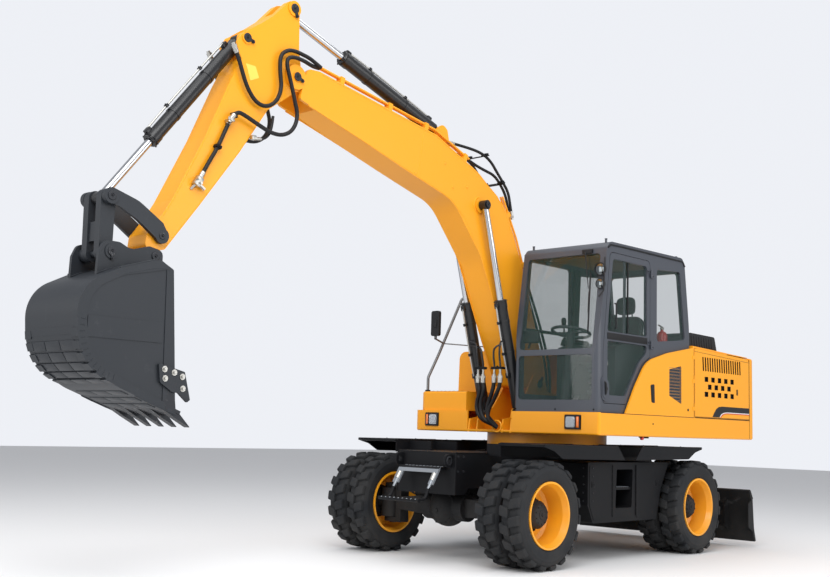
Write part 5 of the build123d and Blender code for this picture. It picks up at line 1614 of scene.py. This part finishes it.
# %% Filler cap, mirror rim and rail stay
bm = bmesh.new()
add_lathe(bm, (-1800, -980, 2198), (0, 0, 1), [(0, 66), (6, 68), (26, 68), (32, 62), (34, 30), (34, 0)], 36)
for i, spot in enumerate(ring_spots((-1800, -980, 2214), "z", 68, 12)):
    add_block(bm, spot, (10, 8, 22), (0, 0, i * 30), 2)
add_block(bm, (-1800, -905, 2180), (26, 30, 10), soften=3)
add_rod(bm, (-850, -1100, 1672), (-850, -1100, 1690), 30, 20)
add_rod(bm, (-1880, -1100, 2165), (-1880, -1100, 2183), 30, 20)
finished("filler_cap_and_rail_feet", bm, plastic_black, "upper")
bm = bmesh.new()
add_frame(bm, front_view(-930, rectangle(-1124, -996, 2296, 2589)), 10, (-5, 0, 0), 26)
add_block(bm, (-892, -1062, 2440), (10, 60, 90), soften=4)
add_rod(bm, (-912, -1062, 2262), (-912, -1062, 2306), 15, 16)
finished("mirror_rim", bm, plastic_black, "upper")
bm = bmesh.new()
add_rod(bm, (-1098, -1100, 2230), (-1500, -560, 2190), 7, 12)
add_rod(bm, (-1500, -560, 2190), (-1512, -545, 2165), 7, 12)
add_rod(bm, (-1400, -1100, 2780), (-1430, -1040, 2790), 7, 12)
finished("rail_stay", bm, steel_grey, "upper")

# %% [markdown]
# ## Turntable and undercarriage
# The slewing ring is bolted to the carrier with a close circle of studs, and smaller bolts hold the
# brackets on the frame.
# `ring_spots` gives the places on the circle, and each place gets one bolt.

# %% Bolts on the carrier
TOOLBOX_Y = 1092
bm = bmesh.new()
for spot in ring_spots((-1600, 0, 1090), "z", 560, 36):
    add_bolt(bm, spot, (0, 0, 1), 9, 16)
for side in (1, -1):
    for x in (-1090, -1180, -1270, -1900, -1990, -2090):
        add_bolt(bm, (x, side * 560, 1018), (0, side, 0), 10, 12)
    for z in (600, 680, 760, 840, 920):
        add_bolt(bm, (-800, side * 1040, z), (1, 0, 0), 8, 9)
        add_bolt(bm, (-880, side * TOOLBOX_Y, z), (0, side, 0), 8, 9)
    for x in (320, 240):
        for z in (1000, 860):
            add_bolt(bm, (x, side * 380, z), (0, side, 0), 10, 12)
    for x, z in ((395, 960), (-3225, 870)):
        add_lathe(bm, (x, side * 336, z), (0, side, 0), [(0, 44), (4, 44), (6, 38), (6, 30), (0, 29)], 28)
finished("undercarriage_bolts", bm, worn_steel, "carrier")

# %% [markdown]
# The carrier's plates are welded, and the fenders' edges are rolled for stiffness.
# A rolled edge and a weld are both round beads, so thin rods stand for both.

# %% Fender edges, straps and welds
bm = bmesh.new()
for side in (1, -1):
    y = side * 1216
    for x0, x1 in ((86, -1130), (-2806, -1590)):
        add_rod(bm, (x0, y, 1136), (x1, y, 1136), 9, 12)
    for x0, x1 in ((60, -1120), (-2780, -1600)):
        add_rod(bm, (x0, side * 684, 1140), (x1, side * 684, 1140), 7, 10)
    for x in (-300, -760, -1960, -2420):
        add_block(bm, (x, side * 950, 1139), (44, 520, 7), soften=3)
        for k in (720, 1180):
            add_bolt(bm, (x, side * k, 1142), (0, 0, 1), 8, 7)
    for x0, x1, z in ((340, -2900, 1036), (-560, -2240, 544)):
        add_rod(bm, (x0, side * 381, z), (x1, side * 381, z), 6, 8)
    add_rod(bm, (351, side * 378, 645), (351, side * 378, 1034), 6, 8)
finished("fender_edges_and_welds", bm, frame_black, "carrier")

# %% [markdown]
# The toolboxes have flush doors on a long pin hinge, and each door has a square lock plate.
# A groove could be cut round each door, but a thin rounded plate over the box shows the gap as a
# shadow.

# %% Toolbox doors, hinges and locks
bm = bmesh.new()
for side in (1, -1):
    y = side * TOOLBOX_Y
    forward = [(-826, 948), (-826, 562), (-902, 412), (-1222, 412), (-1222, 948)]
    aft = [(-1676, 948), (-1676, 412), (-2052, 412), (-2110, 600), (-2146, 712), (-2286, 948)]
    for panel in (forward, aft):
        add_plate(bm, side_view(y, panel), (0, side * 4, 0), 18, 3)
    for x in (-1229, -1669):
        for k in range(6):
            add_rod(bm, (x, y + side * 5, 440 + k * 86), (x, y + side * 5, 516 + k * 86), 8, 12)
    well = [(-1282, 944), (-1282, 484), (-1618, 484), (-1618, 944)]
    add_frame(bm, side_view(y, well), 16, (0, side * 5, 0), 26)
    for x in (-885, -2080):
        add_block(bm, (x, y + side * 6, 760), (54, 6, 60), soften=4)
        add_lathe(bm, (x, y + side * 8, 760), (0, side, 0), [(0, 15), (4, 15), (6, 11), (3, 8), (3, 0)], 20)
finished("toolbox_doors", bm, frame_black, "carrier")

# %% [markdown]
# The steps have raised studs, and the front step is bolted on.
# The studs are turned with few sides, and the bolts stand square to the sloping brackets.

# %% Studs and bolts of the steps
bm = bmesh.new()
for side in (1, -1):
    for i in range(7):
        add_block(bm, (-1330 - i * 40, side * (TOOLBOX_Y - 105), 727), (10, 150, 6), soften=2)
for row, (x, z) in enumerate(((372, 901), (402, 901))):
    for k in range(11):
        add_lathe(bm, (x, -230 + k * 46 + (row % 2) * 12, z), (0, 0, 1), [(-2, 8), (2, 6), (2, 0)], 10)
for k in range(9):
    add_lathe(bm, (725, -220 + k * 55, 604), (0, 0, 1), [(-3, 9), (3, 6), (3, 0)], 10)
finished("step_studs", bm, tread_plate, "carrier")
bm = bmesh.new()
for side in (1, -1):
    for x, z in ((485, 838), (515, 786)):
        add_bolt(bm, (x, side * 225, z), (0.86, 0, 0.5), 8, 9)
    add_rod(bm, (474, side * 225, 836), (512, side * 225, 772), 24, 16)
finished("front_step_bolts", bm, plated_steel, "carrier")

# %% [markdown]
# ## Axles
# A ring of bolts closes each housing, and round covers close the pins that the front wheels steer on.
# Copies of one bolt could be placed as objects, but one bmesh makes them a single piece with one
# finish.

# %% Housing bolts and covers
bm = bmesh.new()
for x in (0, REAR_X):
    add_lathe(bm, (x, 0, AXLE_Z), (1, 0, 0), [(96, 168), (104, 166), (112, 158), (112, 152)], 40)
    for spot in ring_spots((x + 108, 0, AXLE_Z), "x", 158, 16):
        add_bolt(bm, spot, (1, 0, 0), 8, 12)
    add_lathe(bm, (x + 184, 0, 470), (1, 0, 0), [(-4, 22), (8, 22), (12, 18), (12, 0)], 20)
for side in (1, -1):
    add_rod(bm, (-150, side * 150, 430), (-150, side * 230, 430), 36, 20)
    add_rod(bm, (-150, side * 330, 430), (-150, side * 352, 430), 36, 20)
    for spot in ring_spots((REAR_X, side * 641, AXLE_Z), "y", 165, 8):
        add_bolt(bm, spot, (0, side, 0), 8, 9)
    cap = [(0, 52), (5, 52), (8, 46), (8, 0)]
    for way in (1, -1):
        add_lathe(bm, (0, side * 735, AXLE_Z + way * 195), (0, 0, way), cap, 28)
    for spot in ring_spots((0, side * 735, 702), "z", 36, 4, 0.5):
        add_bolt(bm, spot, (0, 0, 1), 6, 7)
finished("axle_bolts_and_covers", bm, axle_black, "carrier")

# %% [markdown]
# Brake lines run along both axles, and two hoses feed the steering cylinder.
# Both sides are alike, so each course is typed once and mirrored by the sign of y.

# %% Brake lines and steering hoses
# each row holds x, how far out from the middle, and z
lines = {
    "brake_line_front": (
        8, [(-70, 60, 700), (-74, 190, 640), (-72, 420, 596), (-66, 560, 590), (-66, 600, 640)],
    ),
    "brake_line_rear": (8, [(-2620, 90, 700), (-2600, 220, 650), (-2590, 420, 600), (-2600, 570, 560)]),
    "steering_hose": (9, [(-90, 100, 700), (-150, 130, 620), (-190, 180, 520), (-170, 190, 462)]),
}
for side, tag in SIDES:
    for name, (radius, course) in lines.items():
        points = [(x, side * out, z) for x, out, z in course]
        hose(name + "_" + tag, points, radius, hose_rubber, "carrier")

# %% [markdown]
# ## Blade and bucket
# The blade's lower edge is a bolted wear plate that can be turned over. The bucket has side cutters
# on large bolts, pinned teeth and weld seams where its plates meet.

# %% Cutting edge of the blade
bm = bmesh.new()
edge = [(-4018, -1222, 214), (-4018, 1222, 214), (-4059, 1222, 78), (-4059, -1222, 78)]
add_plate(bm, edge, (-12, 0, -4), 10)
for i in range(13):
    y = -1140 + i * 190
    add_lathe(bm, (-4048, y, 168), (-0.95, 0, -0.28), [(-4, 17), (4, 17), (9, 11), (9, 0)], 18)
finished("blade_cutting_edge", bm, worn_steel, "blade")
bm = bmesh.new()
for side in (1, -1):
    add_rod(bm, (-3936, side * 1226, 650), (-3992, side * 1226, 560), 7, 10)
    for z in (250, 420, 560):
        add_block(bm, (-3978, side * 820, z), (34, 200, 8), soften=3)
finished("blade_ribs", bm, blade_black, "blade")

# %% Cutter bolts, tooth pins and seams on the bucket
bm = bmesh.new()
for side in (1, -1):
    y = BOOM_Y + side * 395
    for x, z in ((3568, 1640), (3480, 1618), (3560, 1570), (3405, 1590), (3396, 1500)):
        add_rod(bm, (x, y - side * 2, z), (x, y + side * 4, z), 24, 20)
        add_bolt(bm, (x, y + side * 4, z), (0, side, 0), 14, 14)
finished("cutter_bolts", bm, plated_steel, "bucket")
bm = bmesh.new()
for i in range(5):
    y = BOOM_Y - 377 + 36 + i * (754 - 72) / 4
    add_rod(bm, (3520, y - 37, 1352), (3520, y + 37, 1352), 13, 14)
    add_rod(bm, (3470, y - 34, 1338), (3470, y + 34, 1338), 9, 12)
finished("tooth_pins", bm, worn_steel, "bucket")
bm = bmesh.new()
for side in (1, -1):
    y = BOOM_Y + side * 378
    add_bead(bm, [(3560, 2390), (3585, 2400), (3700, 2390), (3960, 2318)], y - side * 4, 5)
    e0 = BOOM_Y + side * 173
    for k in (-2, 34):
        add_bead(bm, [(3640, 2462), (3760, 2432), (3990, 2362), (4080, 2322)], e0 + side * k, 6)
    add_bead(bm, [(3700, 2456), (3990, 2364)], BOOM_Y + side * 372, 6)
    add_bead(bm, [(3431, 1298), (3700, 1392), (3800, 1430)], BOOM_Y + side * 374, 6)
finished("bucket_seams", bm, bucket_slate, "bucket")

# %% [markdown]
# Hard strips are welded across the back and the floor of the bucket, each in three lengths, so that
# a worn length can be changed alone. A raised band stiffens each side plate.

# %% Wear strips and side bands on the bucket
bm = bmesh.new()
SHELL_X, SHELL_Z = 3900, 1910


def on_shell(angle, radius):
    turn = math.radians(angle)
    return SHELL_X + radius * math.cos(turn), SHELL_Z + radius * math.sin(turn)


back_strips = ((-20, 399), (-33, 396), (-46, 393), (-59, 392), (-72, 401))
spots = [(*on_shell(a, r), a) for a, r in back_strips]
spots += [(x, 1301 + 0.361 * (x - 3431), -70) for x in (3850, 3730, 3610)]
for x, z, a in spots:
    for k in (-1, 0, 1):
        add_block(bm, (x, BOOM_Y + k * 212, z), (14, 204, 74), (0, -a, 0), 3)
finished("bucket_wear_strips", bm, bucket_slate, "bucket")
bm = bmesh.new()
for side in (1, -1):
    y = BOOM_Y + side * 371
    band = [(3590, 1835), (3590, 1990), (4226, 1990), (4228, 1835)]
    add_frame(bm, side_view(y, band), 12, (0, side * 8, 0), 8)
    add_plate(bm, side_view(y, band), (0, side * 5, 0), 8)
    for a in range(-76, 12, 7):
        inner, outer = side_view(y + side * 6, [on_shell(a, 345), on_shell(a, 384)])
        add_rod(bm, inner, outer, 3, 6)
finished("bucket_side_bands", bm, bucket_slate, "bucket")

# %% [markdown]
# ## Camera, light and floor
# The camera stands where the picture's perspective puts it, at chest height off the machine's front
# left corner.
# Its lens and its three angles come from the same fit, so the machine stands in the frame as in the
# picture.

# %% Camera
PICTURE_PIXELS, FOCAL_PIXELS = 830, 1115.4
YAW, PITCH, ROLL = math.radians(223.214), math.radians(7.218), math.radians(1.713)
ahead = Vector((math.cos(YAW) * math.cos(PITCH), math.sin(YAW) * math.cos(PITCH), math.sin(PITCH)))
level = Vector((math.sin(YAW), -math.cos(YAW), 0))
above = level.cross(ahead)
right = math.cos(ROLL) * level + math.sin(ROLL) * above
up = math.cos(ROLL) * above - math.sin(ROLL) * level
lens = bpy.data.cameras.new("camera")
lens.sensor_width = 36.0
lens.lens = FOCAL_PIXELS / PICTURE_PIXELS * lens.sensor_width
lens.clip_end = 200.0
camera = bpy.data.objects.new("camera", lens)
bpy.context.scene.collection.objects.link(camera)
turned = Matrix((right, up, -ahead)).transposed().to_4x4()
camera.matrix_world = Matrix.Translation(at(8425.7, 7370.1, 1241.5)) @ turned
bpy.context.scene.camera = camera

# %% [markdown]
# Large soft lamps overhead and at the sides give even studio light. The camera sees a paler
# backdrop than the one that lights the machine.
# A single lamp would be simpler, but its hard shadows would hide the dark undercarriage.

# %% Lamps and backdrop


def soft_lamp(name, place, aim, size, power, colour=(1, 1, 1)):
    light = bpy.data.lights.new(name, "AREA")
    light.shape = "RECTANGLE"
    light.size, light.size_y = size
    light.energy = power
    light.color = colour
    lamp = bpy.data.objects.new(name, light)
    bpy.context.scene.collection.objects.link(lamp)
    aimed = (Vector(aim) - Vector(place)).to_track_quat("-Z", "Y").to_matrix().to_4x4()
    lamp.matrix_world = Matrix.Translation(place) @ aimed
    return lamp


key = soft_lamp("key light", (7.0, 6.0, 9.0), (0, 0, 1.5), (7, 7), 900)
fill = soft_lamp("left fill", (-3.0, 10.0, 4.5), (-1.0, 0, 1.5), (9, 5), 380)
front = soft_lamp("front fill", (11.0, -4.0, 4.0), (1.0, 0, 1.5), (6, 5), 260)
top = soft_lamp("top light", (0.0, 0.0, 11.0), (0, 0, 0), (11, 8), 560)
bpy.context.scene.view_settings.view_transform = "Standard"
world = bpy.data.worlds.new("studio")
world.use_nodes = True
tree = world.node_tree
backdrop = tree.nodes["Background"]
set_inputs(backdrop, {"Color": (0.93, 0.95, 1.0, 1), "Strength": 0.55})
rays = add_node(tree, "LightPath")
paper = add_node(tree, "MapRange", {"To Min": 0.55, "To Max": 0.92})
wire(tree, (rays, "Is Camera Ray", paper, "Value"), (paper, "Result", backdrop, "Strength"))
bpy.context.scene.world = world

# %% [markdown]
# The pale floor is stage only, like the camera and the lamps, so it isn't part of the machine.
# One large grid is enough, because it only has to catch shadows.

# %% Floor
bm = bmesh.new()
bmesh.ops.create_grid(bm, x_segments=8, y_segments=8, size=40.0)
floor_paint = painted("studio floor", (0.80, 0.80, 0.80), rough=0.65, dust=0.0, grain=20, depth=0.02)
floor = finished("studio_floor", bm, floor_paint, None)
